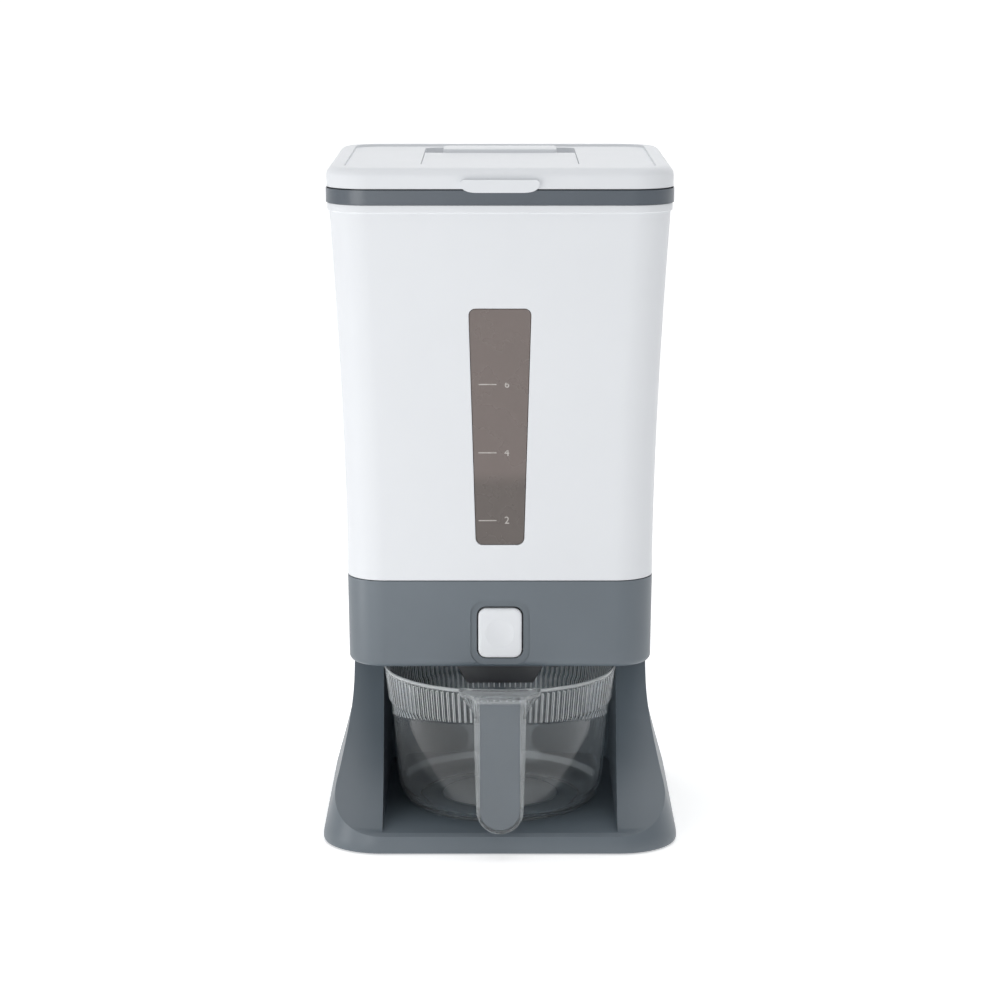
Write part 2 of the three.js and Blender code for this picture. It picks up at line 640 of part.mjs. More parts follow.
// The thumb plate's plan: as wide as the wings at the bowl's rim, then curving in to the handle.
function thumbPlan(z, spread, inset) {
  const wings = [[18.7, -150.5], [19, -143], [21.5, -137], [26.5, -131], [29.5, -127], [30, -116]];
  const right = wings.map(([x, y], i) => {
    const half = 18.7 + (x - 18.7) * spread - inset;
    return [half, i === 0 ? y + inset : y, z];
  });
  const left = right.map(([x, y, height]) => [-x, y, height]).reverse();
  return [...right, ...left];
}

function bowlHandle() {
  const endZ = HANDLE_LOW + HANDLE_END;
  const skin = frontPrism(tongueOutline(HANDLE_END, endZ, [[18.2, 75], [18.7, 106], [18.7, 121]]),
    HANDLE_FRONT, HANDLE_FRONT + HANDLE_DEPTH);
  const hollow = frontPrism(tongueOutline(INSERT_HALF + GAP, endZ, [[INSERT_HALF + GAP, 118.9]]),
    HANDLE_FRONT + 2.8, HANDLE_FRONT + HANDLE_DEPTH + 1);
  const plate = loft([thumbPlan(119.4, 1, 0), thumbPlan(122.4, 1, 0)]);
  const cheeks = loft([thumbPlan(106, 0, 0), thumbPlan(120, 1, 0)]);
  const between = loft([thumbPlan(105.9, 0, 2.4), thumbPlan(120.1, 1, 2.4)]);
  const cut = box(-40, 40, HANDLE_FRONT + HANDLE_DEPTH, -100, 105, 119.4);
  const front = box(-40, 40, HANDLE_FRONT - 1, HANDLE_FRONT + HANDLE_DEPTH, 100, 119.4);
  return union(skin.subtract(hollow), plate, cheeks.subtract(between.intersect(cut)).subtract(front));
}

function measuringBowl() {
  const wall = lathe([...BOWL_OUTSIDE, ...BOWL_INSIDE], BOWL_SIDES);
  const grip = bowlHandle().translate([0, -BOWL_Y, 0]).subtract(bowlVoid());
  return wall.add(grip).translate([0, BOWL_Y, 0]);
}

function handleInsert() {
  const endZ = HANDLE_LOW + HANDLE_END;
  return frontPrism(tongueOutline(INSERT_HALF, endZ, [[INSERT_HALF, 118.5]]),
    HANDLE_FRONT + 3.1, HANDLE_FRONT + HANDLE_DEPTH - 0.4);
}

// ---- materials ----
const slate = new THREE.MeshStandardMaterial({ color: 0x74808a, roughness: 0.5, metalness: 0 });
const charcoal = new THREE.MeshStandardMaterial({ color: 0x3e4247, roughness: 0.5, metalness: 0 });
const white = new THREE.MeshStandardMaterial({ color: 0xeeeef0, roughness: 0.35, metalness: 0 });
const clear = new THREE.MeshStandardMaterial({ color: 0xdfe6e8, roughness: 0.1, metalness: 0 });
const smoked = new THREE.MeshStandardMaterial({ color: 0x7d756f, roughness: 0.3, metalness: 0 });
const rubber = new THREE.MeshStandardMaterial({ color: 0x4a4d50, roughness: 0.8, metalness: 0 });
const silicone = new THREE.MeshStandardMaterial({ color: 0xd8dadb, roughness: 0.6, metalness: 0 });
const paper = new THREE.MeshStandardMaterial({ color: 0xe6e2d8, roughness: 0.9, metalness: 0 });
const steel = new THREE.MeshStandardMaterial({ color: 0xb8babd, roughness: 0.3, metalness: 1 });

// ---- assembly ----
const dispenser = new THREE.Group();
dispenser.position.y = STAND_Y;

function addPiece(name, manifold, material) {
  const mesh = new THREE.Mesh(geometryOf(manifold), material.clone());
  mesh.name = name;
  dispenser.add(mesh);
}

addPiece('base_shell', baseShell(), slate);
for (const [place, spot] of Object.entries(FOOT_SPOTS)) {
  addPiece(`foot_${place}`, rubberFoot(spot), rubber);
}
for (const [place, [x, y]] of Object.entries(STAND_SCREW_SPOTS)) {
  const screw = panScrew(x, y, STAND_TOP - WALL - 3.4, STAND_TOP - WALL - GAP, 145, 3.8, 1.75);
  addPiece(`stand_screw_${place}`, screw, steel);
}
addPiece('dispenser_housing', dispenserHousing(), slate);
addPiece('button_cap', buttonCap(), white);
addPiece('gate_slide', gateSlide(), white);
mirroredX((side) => addPiece(`gate_spring_${side < 0 ? 'left' : 'right'}`, gateSpring(side), steel));
addPiece('outlet_chute', outletChute(), charcoal);
for (const [place, [x, y]] of Object.entries(CHUTE_SCREW_SPOTS)) {
  const screw = panScrew(x, y, HOUSING_LOW - 1.9, HOUSING_LOW - GAP, 142, 2.9, 1.4);
  addPiece(`chute_screw_${place}`, screw, steel);
}
addPiece('hopper_funnel', hopperFunnel(), white);
addPiece('bin_shell', binShell(), white);
addPiece('sight_window', sightWindow(), smoked);
addPiece('collar_ring', collarRing(), slate);
mirroredX((side) => addPiece(`hinge_pin_${side < 0 ? 'left' : 'right'}`, hingePin(side), steel));
addPiece('lid_shell', lidShell(), white);
addPiece('lid_seal', lidSeal(), silicone);
addPiece('desiccant_cover', desiccantCover(), white);
addPiece('desiccant_basket', desiccantBasket(), white);
addPiece('desiccant_sachet', desiccantSachet(), paper);
addPiece('measuring_bowl', measuringBowl(), clear);
addPiece('handle_insert', handleInsert(), slate);

export default dispenser;
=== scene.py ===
"""Looks of a push-button cereal dispenser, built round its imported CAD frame.

Shapes are drawn in millimetres, with Y measured from the middle of the stand, and are moved into the
frame's metres when a piece is finished. +Z is up and the front faces -Y.
"""

from math import cos, pi, radians, sin

import bmesh
import bpy
from mathutils import Matrix, Vector


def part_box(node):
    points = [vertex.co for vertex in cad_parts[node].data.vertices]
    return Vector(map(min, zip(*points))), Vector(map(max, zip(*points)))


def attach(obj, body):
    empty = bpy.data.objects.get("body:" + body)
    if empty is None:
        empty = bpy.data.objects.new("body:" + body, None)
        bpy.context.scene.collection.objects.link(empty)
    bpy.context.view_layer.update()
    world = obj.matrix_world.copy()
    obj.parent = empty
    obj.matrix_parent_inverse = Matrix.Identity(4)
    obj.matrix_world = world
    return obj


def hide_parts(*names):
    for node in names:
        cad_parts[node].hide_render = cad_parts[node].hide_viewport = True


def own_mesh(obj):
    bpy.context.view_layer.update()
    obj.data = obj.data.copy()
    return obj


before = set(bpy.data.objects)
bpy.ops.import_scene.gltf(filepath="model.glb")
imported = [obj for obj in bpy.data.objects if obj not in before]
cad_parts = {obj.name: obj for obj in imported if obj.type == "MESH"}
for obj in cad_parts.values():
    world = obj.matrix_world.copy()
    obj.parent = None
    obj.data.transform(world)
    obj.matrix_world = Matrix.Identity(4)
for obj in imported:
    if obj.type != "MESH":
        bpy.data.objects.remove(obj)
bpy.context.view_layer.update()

MM = 0.001  # one millimetre in the frame's metres

# ---- driving dimensions, in millimetres ----
stand_low, stand_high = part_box("base_shell")
STAND_Y = (stand_low[1] + stand_high[1]) / 2 / MM
GAP = 0.3  # between two pieces that are fixed to each other
WALL = 2.5
NECK_HALF = 110.8
FOOT_HALF = 131.5
NECK_RADIUS = 28
FOOT_RADIUS = 44
STAND_TOP = 136
SHELF = 15.5
RECESS_FLOOR_HALF = 86.3
RECESS_TOP_HALF = 88.9
RECESS_BACK = 90
RECESS_RADIUS = 21
HOUSING_LOW = STAND_TOP + GAP
HOUSING_FLOOR = HOUSING_LOW + WALL
HOUSING_TOP = 201
HOUSING_HALF = 111.4
BIN_BOTTOM = HOUSING_TOP + GAP
BIN_TOP = 475
COLLAR_BOTTOM = BIN_TOP + GAP
COLLAR_TOP = 485.5
COLLAR_HALF = 124.5
LID_BOTTOM = 486.5
LID_TOP = 501
LID_HALF = 124
BIN_FLARE_TOP = 468
BIN_FOOT_HALF = 111.7
BIN_FLARE = 10.4
BIN_FLARE_POWER = 1.7
WINDOW_LOW = 228
WINDOW_HIGH = 401
WINDOW_HALF = 17.5  # at its lower end
WINDOW_SPREAD = 5  # how much further out each side is at its upper end
SHADE_LOW = 270  # between these heights the pane's darker part ends
SHADE_HIGH = 284
HINGE_X = 70
HINGE_Y = 127.4
HINGE_Z = 482.5
BUTTON_HALF = 16
BUTTON_LOW = 144
BUTTON_HIGH = 181
BUTTON_FRONT = -113.1
BUTTON_BACK = -105.5
BUTTON_FACE = BUTTON_FRONT + 0.1
BUTTON_RADIUS = 6
BOWL_Y = -36
BOWL_LOW = SHELF + GAP
BOWL_RIM = 122
BOWL_RADIUS = 87.6
BAND_RADIUS = 83.5
BAND_SPREAD = 2.8
BAND_LOW = 96
BAND_HEIGHT = 23
RIBS = 120
RIB_SIDES = 5
RIB_DEPTH = 0.7
RIB_TOP = 118.2
RIB_FOOT = 82  # where the ribs end at the bowl's sides
RIB_FOOT_RISE = 14.5  # and how much higher they end at the front
RIM_LOW = 119.4  # the underside of the bowl's rim and of its thumb plate
DISC_RADIUS = 43  # the raised disc in the bowl's floor
DISC_TOP = 21
# painted highlight: a band of lightened plastic above the rear of the floor, in place of the reflection
# in the bowl's rear fillet
ARC_LOW = 26.8  # the bright arc above the rear of the floor
ARC_HIGH = 31.5
ARC_START = 15  # how far behind the bowl's middle it starts
HANDLE_FRONT = -150.5
HANDLE_LOW = 21.6
HANDLE_DEPTH = 11
INSERT_HALF = 14.4
SPRING_X = 50
SPRING_Z = 147
SPRING_FRONT = -101.7
SPRING_BACK = -72.5

CORNER_STEPS = 14


# ---- outlines ----
def rounded_loop(x0, x1, y0, y1, radius, steps=CORNER_STEPS):
    """A rounded rectangle as a ring of points, counter-clockwise."""
    corners = (
        (x1 - radius, y0 + radius, -90),
        (x1 - radius, y1 - radius, 0),
        (x0 + radius, y1 - radius, 90),
        (x0 + radius, y0 + radius, 180),
    )
    points = []
    for cx, cy, start in corners:
        for i in range(steps + 1):
            angle = radians(start + 90 * i / steps)
            points.append((cx + radius * cos(angle), cy + radius * sin(angle)))
    return points


def level(z, x0, x1, y0, y1, radius, steps=CORNER_STEPS):
    """A rounded rectangle at a height."""
    return [(x, y, z) for x, y in rounded_loop(x0, x1, y0, y1, radius, steps)]


def square_level(z, half, radius):
    """A rounded square round the middle, at a height."""
    return level(z, -half, half, -half, half, radius)


def smooth_profile(points, steps):
    """A Catmull-Rom curve through the points, for profiles that have no corners."""
    out = []
    last = len(points) - 1
    for i in range(last):
        a, b, c, d = (Vector(points[max(0, min(last, k))]) for k in (i - 1, i, i + 1, i + 2))
        for s in range(steps):
            t = s / steps
            p = 0.5 * (2 * b + (c - a) * t + (2 * a - 5 * b + 4 * c - d) * t * t
                       + (3 * b - a - 3 * c + d) * t ** 3)
            out.append(tuple(p))
    out.append(tuple(points[-1]))
    return out


# ---- mesh building, all in millimetres ----
def new_object(name, bm):
    """Makes a mesh object with its faces turned outwards."""
    bmesh.ops.recalc_face_normals(bm, faces=bm.faces)
    if bm.calc_volume(signed=True) < 0:
        bmesh.ops.reverse_faces(bm, faces=bm.faces)
    mesh = bpy.data.meshes.new(name)
    bm.to_mesh(mesh)
    bm.free()
    obj = bpy.data.objects.new(name, mesh)
    bpy.context.scene.collection.objects.link(obj)
    return obj


def loft(rings):
    """A closed skin through rings of points that all have the same count."""
    bm = bmesh.new()
    rows = [[bm.verts.new(p) for p in ring] for ring in rings]
    count = len(rings[0])
    for low, high in zip(rows, rows[1:]):
        for i in range(count):
            j = (i + 1) % count
            bm.faces.new((low[i], low[j], high[j], high[i]))
    bm.faces.new(rows[0])
    bm.faces.new(rows[-1])
    return new_object("solid", bm)


def block(x0, x1, y0, y1, z0, z1, radius=0.01, steps=CORNER_STEPS):
    """An upright block with rounded corners, or with nearly sharp ones if no radius is given."""
    if radius < 0.1:
        steps = 1
    return loft([level(z, x0, x1, y0, y1, radius, steps) for z in (z0, z1)])


def front_prism(outline, y0, y1):
    """An outline drawn in X and Z, made solid between two Y planes."""
    return loft([[(x, y, z) for x, z in outline] for y in (y0, y1)])


def cylinder(axis, radius, low, high, a, b, sides=32):
    """A cylinder along x or z, from low to high, round the point (a, b) of the other two axes."""
    angles = [2 * pi * i / sides for i in range(sides)]
    ring = [(a + radius * cos(angle), b + radius * sin(angle)) for angle in angles]
    if axis == "x":
        return loft([[(x, y, z) for y, z in ring] for x in (low, high)])
    return loft([[(x, y, z) for x, y in ring] for z in (low, high)])


def lathe(profile, sides, radius_at=None):
    """A profile of radius and height that starts and ends on the axis, turned about Z."""
    bm = bmesh.new()
    rows = []
    for r, z in profile:
        if r == 0:
            rows.append([bm.verts.new((0, 0, z))])
            continue
        ring = []
        for i in range(sides):
            angle = 2 * pi * i / sides
            radius = radius_at(r, z, i) if radius_at else r
            ring.append(bm.verts.new((radius * cos(angle), radius * sin(angle), z)))
        rows.append(ring)
    for low, high in zip(rows, rows[1:]):
        for i in range(sides):
            j = (i + 1) % sides
            corners = [low[i % len(low)], low[j % len(low)], high[j % len(high)], high[i % len(high)]]
            bm.faces.new(list(dict.fromkeys(corners)))
    return new_object("turned", bm)


def square_ring(outer_half, inner_half, z0, z1, outer_radius):
    """A rounded square ring between two heights, with walls of one thickness."""
    inner_radius = max(outer_radius - (outer_half - inner_half), 1)
    outer = loft([square_level(z, outer_half, outer_radius) for z in (z0, z1)])
    inner = loft([square_level(z, inner_half, inner_radius) for z in (z0 - 1, z1 + 1)])
    return cut(outer, inner)


def bake(obj):
    """Turns the object's modifiers into plain mesh."""
    graph = bpy.context.evaluated_depsgraph_get()
    mesh = bpy.data.meshes.new_from_object(obj.evaluated_get(graph))
    old = obj.data
    obj.modifiers.clear()
    obj.data = mesh
    bpy.data.meshes.remove(old)


def boolean(target, others, operation):
    """Combines the target with other solids, which are used up."""
    for other in others:
        modifier = target.modifiers.new("boolean", "BOOLEAN")
        modifier.operation = operation
        modifier.solver = "MANIFOLD"
        modifier.object = other
    bake(target)
    for other in others:
        mesh = other.data
        bpy.data.objects.remove(other)
        bpy.data.meshes.remove(mesh)
    return target


def cut(target, *others):
    return boolean(target, others, "DIFFERENCE")


def join(target, *others):
    return boolean(target, others, "UNION")


def common(target, other):
    return boolean(target, [other], "INTERSECT")


# ---- finishing a piece ----
def tidy(obj):
    """Removes the slivers that booleans leave behind."""
    bm = bmesh.new()
    bm.from_mesh(obj.data)
    bmesh.ops.remove_doubles(bm, verts=bm.verts, dist=0.01)
    bmesh.ops.dissolve_degenerate(bm, edges=bm.edges, dist=0.01)
    bm.to_mesh(obj.data)
    bm.free()


def bevel(obj, width, segments, angle):
    """Adds a modifier that rounds the edges sharper than an angle."""
    modifier = obj.modifiers.new("edges", "BEVEL")
    modifier.width = width
    modifier.segments = segments
    modifier.limit_method = "ANGLE"
    modifier.angle_limit = radians(angle)
    return modifier


def round_edges(obj, width):
    """Rounds the sharp edges of a simple form before it is joined to others."""
    bevel(obj, width, segments=3, angle=50)
    bake(obj)
    return obj


def soften(obj, width, angle):
    """Rounds the edges, if a width is given, and smooths the faces."""
    tidy(obj)
    obj.data.shade_smooth()
    if width:
        modifier = bevel(obj, width, segments=2, angle=angle)
        modifier.harden_normals = True
        modifier.miter_outer = "MITER_ARC"
        bake(obj)
    else:
        obj.data.set_sharp_from_angle(angle=radians(angle))


def piece(obj, name, material, body, nodes, edge=0.0, angle=32):
    """Moves a finished shape into the frame and says what it stands for."""
    soften(obj, edge, angle)
    obj.data.transform(Matrix.Scale(MM, 4) @ Matrix.Translation((0, STAND_Y, 0)))
    obj.name = name
    obj.data.name = name
    obj.data.materials.clear()
    obj.data.materials.append(material)
    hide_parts(*nodes)
    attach(obj, body)
    return obj


# ---- materials ----
def srgb(r, g, b):
    """Linear colour of an 8-bit sRGB one."""
    out = []
    for value in (r, g, b):
        c = value / 255
        out.append(c / 12.92 if c <= 0.04045 else ((c + 0.055) / 1.055) ** 2.4)
    return (*out, 1.0)


class Nodes:
    """A short way to write a material's node tree."""

    def __init__(self, name):
        self.material = bpy.data.materials.new(name)
        self.material.use_nodes = True
        self.tree = self.material.node_tree
        self.shader = self.tree.nodes["Principled BSDF"]
        self.place = self.add("ShaderNodeTexCoord").outputs["Object"]

    def give(self, socket, value):
        """Links another node's output to a socket, or sets a plain value."""
        if isinstance(value, bpy.types.NodeSocket):
            self.tree.links.new(value, socket)
        else:
            socket.default_value = value

    def set(self, **sockets):
        """Gives values or links to the shader's own sockets."""
        for name, value in sockets.items():
            self.give(self.shader.inputs[name.replace("_", " ")], value)

    def add(self, kind, sockets=None, **settings):
        node = self.tree.nodes.new(kind)
        for key, value in settings.items():
            setattr(node, key, value)
        for name, value in (sockets or {}).items():
            self.give(node.inputs[name], value)
        return node

    def math(self, operation, *values):
        node = self.add("ShaderNodeMath", operation=operation)
        for socket, value in zip(node.inputs, values):
            self.give(socket, value)
        return node.outputs["Value"]

    def above(self, value, limit):
        return self.math("GREATER_THAN", value, limit)

    def below(self, value, limit):
        return self.math("LESS_THAN", value, limit)

    def where_all(self, mask, *others):
        """A mask that is 1 where every given mask is 1."""
        for other in others:
            mask = self.math("MULTIPLY", mask, other)
        return mask

    def noise(self, scale, detail=3.0, roughness=0.5):
        sockets = {"Vector": self.place, "Scale": scale, "Detail": detail, "Roughness": roughness}
        return self.add("ShaderNodeTexNoise", sockets).outputs["Fac"]

    def spread(self, value, low, high):
        """Maps noise, which lies mostly between 0.3 and 0.7, onto a range."""
        sockets = {"Value": value, "From Min": 0.3, "From Max": 0.7, "To Min": low, "To Max": high}
        return self.add("ShaderNodeMapRange", sockets).outputs["Result"]

    def mix(self, share, first, second):
        sockets = {"Factor": share, "A": first, "B": second}
        return self.add("ShaderNodeMix", sockets, data_type="RGBA").outputs["Result"]

    def bump(self, height, strength, distance, normal=None):
        sockets = {"Height": height, "Strength": strength, "Distance": distance}
        if normal:
            sockets["Normal"] = normal
        return self.add("ShaderNodeBump", sockets).outputs["Normal"]

    def colour(self, grain, dark, light):
        self.set(Base_Color=self.mix(self.spread(grain, 0, 1), dark, light))

    def gloss(self, grain, low, high):
        """Uneven roughness between two values."""
        self.set(Roughness=self.spread(grain, low, high))

    def relief(self, height, strength, distance):
        self.set(Normal=self.bump(height, strength, distance))


def moulded_plastic(name, light, dark, roughness, grain, grain_depth, wave_depth, ior=1.5, shine=0.5):
    """Opaque moulded plastic: faint cloudiness, uneven gloss, fine grain and long soft sink marks."""
    m = Nodes(name)
    m.colour(m.noise(9, 4, 0.55), dark, light)
    m.gloss(m.noise(34, 3, 0.6), roughness - 0.02, roughness + 0.02)
    waves = m.bump(m.noise(11, 2, 0.4), 0.6, wave_depth)
    m.set(Normal=m.bump(m.noise(grain, 2, 0.6), 0.5, grain_depth, waves))
    m.set(IOR=ior, Specular_IOR_Level=shine)
    return m.material


def let_lamps_through(m, share):
    """Lets most of the lamps' light pass straight through a clear piece."""
    tint = m.add("ShaderNodeBsdfTransparent", {"Color": (share, share, share, 1.0)})
    path = m.add("ShaderNodeLightPath")
    mix = m.add("ShaderNodeMixShader")
    m.give(mix.inputs[0], path.outputs["Is Shadow Ray"])
    m.give(mix.inputs[1], m.shader.outputs["BSDF"])
    m.give(mix.inputs[2], tint.outputs["BSDF"])
    m.give(m.tree.nodes["Material Output"].inputs["Surface"], mix.outputs["Shader"])


def rib_crests(m, x, z, back, radius):
    """A mask of the bowl's rib crests: the first side of each rib, from its foot to the rib's top."""
    angle = m.math("ARCTAN2", back, x)
    turn = m.math("FRACT", m.math("MULTIPLY_ADD", angle, RIBS / (2 * pi), 2 * RIBS))
    front = m.math("MAXIMUM", m.math("DIVIDE", m.math("MULTIPLY", back, -1.0), radius), 0.0)
    foot = m.math("MULTIPLY_ADD", front, RIB_FOOT_RISE * MM, RIB_FOOT * MM)
    return m.where_all(m.below(turn, 1 / RIB_SIDES), m.above(z, foot), m.below(z, RIB_TOP * MM))


def bowl_masks(m):
    """Masks of the bowl's places that are lightened, mostly as painted highlights, from the distance to
    its upright axis and the height.
    """
    split = m.add("ShaderNodeSeparateXYZ", {"Vector": m.place})
    x, y, z = (split.outputs[axis] for axis in "XYZ")
    back = m.math("SUBTRACT", y, (BOWL_Y + STAND_Y) * MM)
    radius = m.math("SQRT", m.math("ADD", m.math("POWER", x, 2), m.math("POWER", back, 2)))
    on_bowl = m.below(radius, (BOWL_RADIUS + 0.3) * MM)
    off_bowl = m.math("SUBTRACT", 1.0, on_bowl)
    on_handle = m.below(y, (HANDLE_FRONT + HANDLE_DEPTH + 0.2 + STAND_Y) * MM)
    beside_insert = m.above(m.math("ABSOLUTE", x), (INSERT_HALF + 0.2) * MM)
    return {
        "rib": m.where_all(rib_crests(m, x, z, back, radius), on_bowl),
        "rim": m.where_all(m.above(z, (RIM_LOW + 0.2) * MM), on_bowl),
        "disc": m.where_all(m.below(radius, (DISC_RADIUS + 0.2) * MM),
                            m.below(z, (DISC_TOP + 0.5) * MM)),
        "arc": m.where_all(m.above(z, ARC_LOW * MM), m.below(z, ARC_HIGH * MM),
                           m.above(back, ARC_START * MM)),
        "handle": on_handle,
        "border": m.where_all(on_handle, beside_insert),
        "thumb_plate": m.where_all(off_bowl, m.above(z, (RIM_LOW - 0.4) * MM)),
    }


# how much each place is lightened: on the rib crests, rim, arc, handle border and thumb plate a painted
# highlight, on the bottom disc a painted highlight over its frosting, on the handle a faint haze
BOWL_HAZE_AND_PAINTED_HIGHLIGHT = {
    "rib": 0.42, "rim": 0.3, "disc": 0.13, "arc": 0.25,
    "handle": 0.01, "border": 0.11, "thumb_plate": 0.12,
}


def clear_plastic():
    """Clear moulded polystyrene with a faint haze: lightened towards its grazing edges as a painted
    sheen, frosted on the rib crests and the bottom disc, and lightened on the crests, the disc, the rim,
    the rear arc, the handle's border and the thumb plate as painted highlights.
    """
    m = Nodes("clear_plastic")
    masks = bowl_masks(m)
    # the grazing edges are lightened by a painted sheen, on top of a faint even haze
    edge = m.add("ShaderNodeLayerWeight", {"Blend": 0.35})
    haze_and_highlight = m.math("MULTIPLY_ADD", m.math("POWER", edge.outputs["Facing"], 2), 0.2, 0.004)
    for place, share in BOWL_HAZE_AND_PAINTED_HIGHLIGHT.items():
        haze_and_highlight = m.math("MULTIPLY_ADD", masks[place], share, haze_and_highlight)
    frosted = m.math("MAXIMUM", masks["rib"], masks["disc"])
    plain = m.spread(m.noise(30, 3, 0.6), 0.0, 0.03)
    waves = m.bump(m.noise(16, 2, 0.4), 0.25, 0.0003)
    m.set(Transmission_Weight=m.math("SUBTRACT", 1.0, haze_and_highlight))
    m.set(Roughness=m.math("MULTIPLY_ADD", frosted, 0.3, plain))
    m.set(Normal=waves, Coat_Normal=waves)
    m.set(Base_Color=(0.86, 0.89, 0.905, 1.0), IOR=1.27)
    m.set(Coat_Weight=0.35, Coat_IOR=1.5, Coat_Roughness=0.03)
    let_lamps_through(m, 0.93)
    return m.material


def smoked_plastic():
    """The window's smoked pane: half clear brown-grey, darker over the lowest part."""
    m = Nodes("smoked_plastic")
    split = m.add("ShaderNodeSeparateXYZ", {"Vector": m.place})
    limits = {"Value": split.outputs["Z"], "From Min": SHADE_LOW * MM, "From Max": SHADE_HIGH * MM}
    step = m.add("ShaderNodeMapRange", limits, interpolation_type="SMOOTHSTEP")
    body = m.mix(step.outputs["Result"], srgb(102, 94, 90), srgb(121, 110, 106))
    cloud = m.spread(m.noise(14, 4, 0.6), 0.0, 0.12)
    m.set(Base_Color=m.mix(cloud, body, srgb(90, 84, 80)))
    m.gloss(m.noise(40, 3, 0.6), 0.22, 0.34)
    m.relief(m.noise(60, 2), 0.3, 0.0002)
    m.set(IOR=1.5, Transmission_Weight=0.12)
    return m.material


def rubber():
    """Matt dark rubber with a fine grain."""
    m = Nodes("foot_rubber")
    m.colour(m.noise(60, 4), srgb(48, 50, 53), srgb(66, 68, 71))
    m.gloss(m.noise(120), 0.7, 0.9)
    m.relief(m.noise(900), 0.5, 0.0002)
    return m.material


def silicone():
    """Pale silicone that lets a little light in."""
    m = Nodes("seal_silicone")
    m.colour(m.noise(30), srgb(205, 207, 208), srgb(222, 223, 224))
    m.gloss(m.noise(90), 0.5, 0.65)
    m.relief(m.noise(500), 0.4, 0.0001)
    m.set(Subsurface_Weight=0.2, Subsurface_Radius=(0.004, 0.004, 0.004))
    return m.material


def steel(name, dark, light):
    """Plated steel with uneven gloss."""
    m = Nodes(name)
    m.colour(m.noise(200, 4), dark, light)
    m.gloss(m.noise(260), 0.22, 0.42)
    m.relief(m.noise(1200, 2), 0.3, 0.00005)
    m.set(Metallic=1.0)
    return m.material


def paper():
    """The sachet's coarse fibrous paper."""
    m = Nodes("sachet_paper")
    m.colour(m.noise(120, 5), srgb(214, 209, 196), srgb(236, 232, 222))
    m.relief(m.noise(300, 5), 0.7, 0.0004)
    m.set(Roughness=0.9)
    return m.material


def print_ink():
    """The slightly uneven ink of the window's scale."""
    m = Nodes("scale_ink")
    m.colour(m.noise(300), srgb(172, 167, 162), srgb(196, 192, 188))
    m.gloss(m.noise(400), 0.4, 0.55)
    return m.material


slate = moulded_plastic(
    "slate_plastic", srgb(91, 101, 109), srgb(84, 94, 102), roughness=0.42,
    grain=2600, grain_depth=0.00003, wave_depth=0.0001, ior=1.7)
# a darker, glossier copy of the slate plastic for the collar and the handle's insert; its darkness is
# painted shade
painted_shade_slate = moulded_plastic(
    "painted_shade_slate_plastic", srgb(68, 78, 88), srgb(62, 72, 82), roughness=0.34,
    grain=2600, grain_depth=0.00003, wave_depth=0.0001, ior=1.8)
# near-black plastic for the chute: its darkness is painted shade, the shade under the housing
chute_painted_shade = moulded_plastic(
    "charcoal_plastic", srgb(35, 37, 41), srgb(29, 31, 35), roughness=0.4,
    grain=2400, grain_depth=0.00004, wave_depth=0.0001)
white = moulded_plastic(
    "white_plastic", srgb(225, 227, 230), srgb(223, 225, 228), roughness=0.38,
    grain=1500, grain_depth=0.000003, wave_depth=0.00002, ior=1.4, shine=0.15)
inner_white = moulded_plastic(
    "inner_plastic", srgb(218, 219, 222), srgb(210, 211, 214), roughness=0.45,
    grain=2000, grain_depth=0.00003, wave_depth=0.0002)
clear = clear_plastic()
smoked = smoked_plastic()
foot_rubber = rubber()
seal_silicone = silicone()
zinc_steel = steel("zinc_steel", srgb(168, 171, 175), srgb(205, 207, 210))
# darkened steel for the chute's screws: its darkness is painted shade, the shade under the housing
painted_shade_steel = steel("painted_shade_steel", srgb(52, 53, 55), srgb(74, 75, 78))
sachet_paper = paper()
scale_ink = print_ink()


# ---- stand ----
# the stand's half width at each height
FLARE = [
    (1, 130.8), (3, FOOT_HALF), (8, 131), (14, 129.5), (24, 126.8), (36, 123.5),
    (58, 117.9), (82, 113.1), (104, NECK_HALF), (STAND_TOP, NECK_HALF),
]
RAMP_RADIUS = 302.3
RAMP_CENTRE = (-274.4, 278.8)
FOOT_SPOTS = {
    "front_left": (-96, -96), "front_right": (96, -96), "rear_left": (-96, 96), "rear_right": (96, 96),
}
STAND_SCREW_SPOTS = [(-100, 30), (100, 30), (-45, 100.5), (45, 100.5)]
BOSS_RADIUS = 10.5
SOCKET_RADIUS = 8.8
SOCKET_TOP = 4.3
STEM_BORE = 6
STEM_BORE_TOP = 24
SCREW_BORE = 2.1
FOOT_PROFILE = [
    (0, 0.9), (5.5, 0.9), (6.1, 0), (7.6, 0), (8.3, 0.5), (8.5, 1.2), (8.5, 4),
    (5.6, 4), (5.6, 8), (0, 8),
]


def flare_radius(half):
    """The stand's corner radius, which grows with its half width."""
    return NECK_RADIUS + (half - NECK_HALF) / (FOOT_HALF - NECK_HALF) * (FOOT_RADIUS - NECK_RADIUS)


def stand_body(inset):
    """The stand's outer form, shrunk by an inset; an inset one is open at the table."""
    profile = smooth_profile(FLARE, 3)
    rings = [square_level(z, half - inset, flare_radius(half) - inset) for z, half in profile]
    if inset:
        rings[0] = square_level(-5, FLARE[0][1] - inset, FOOT_RADIUS - inset)
        rings[-1] = square_level(STAND_TOP - inset, NECK_HALF - inset, NECK_RADIUS - inset)
    ramp = cylinder("x", RAMP_RADIUS + inset, -200, 200, *RAMP_CENTRE, sides=320)
    recess = loft([
        level(z, -half - inset, half + inset, -220, RECESS_BACK + inset, RECESS_RADIUS + inset)
        for z, half in ((SHELF - inset, RECESS_FLOOR_HALF), (STAND_TOP + 5, RECESS_TOP_HALF))
    ])
    return cut(loft(rings), ramp, recess)


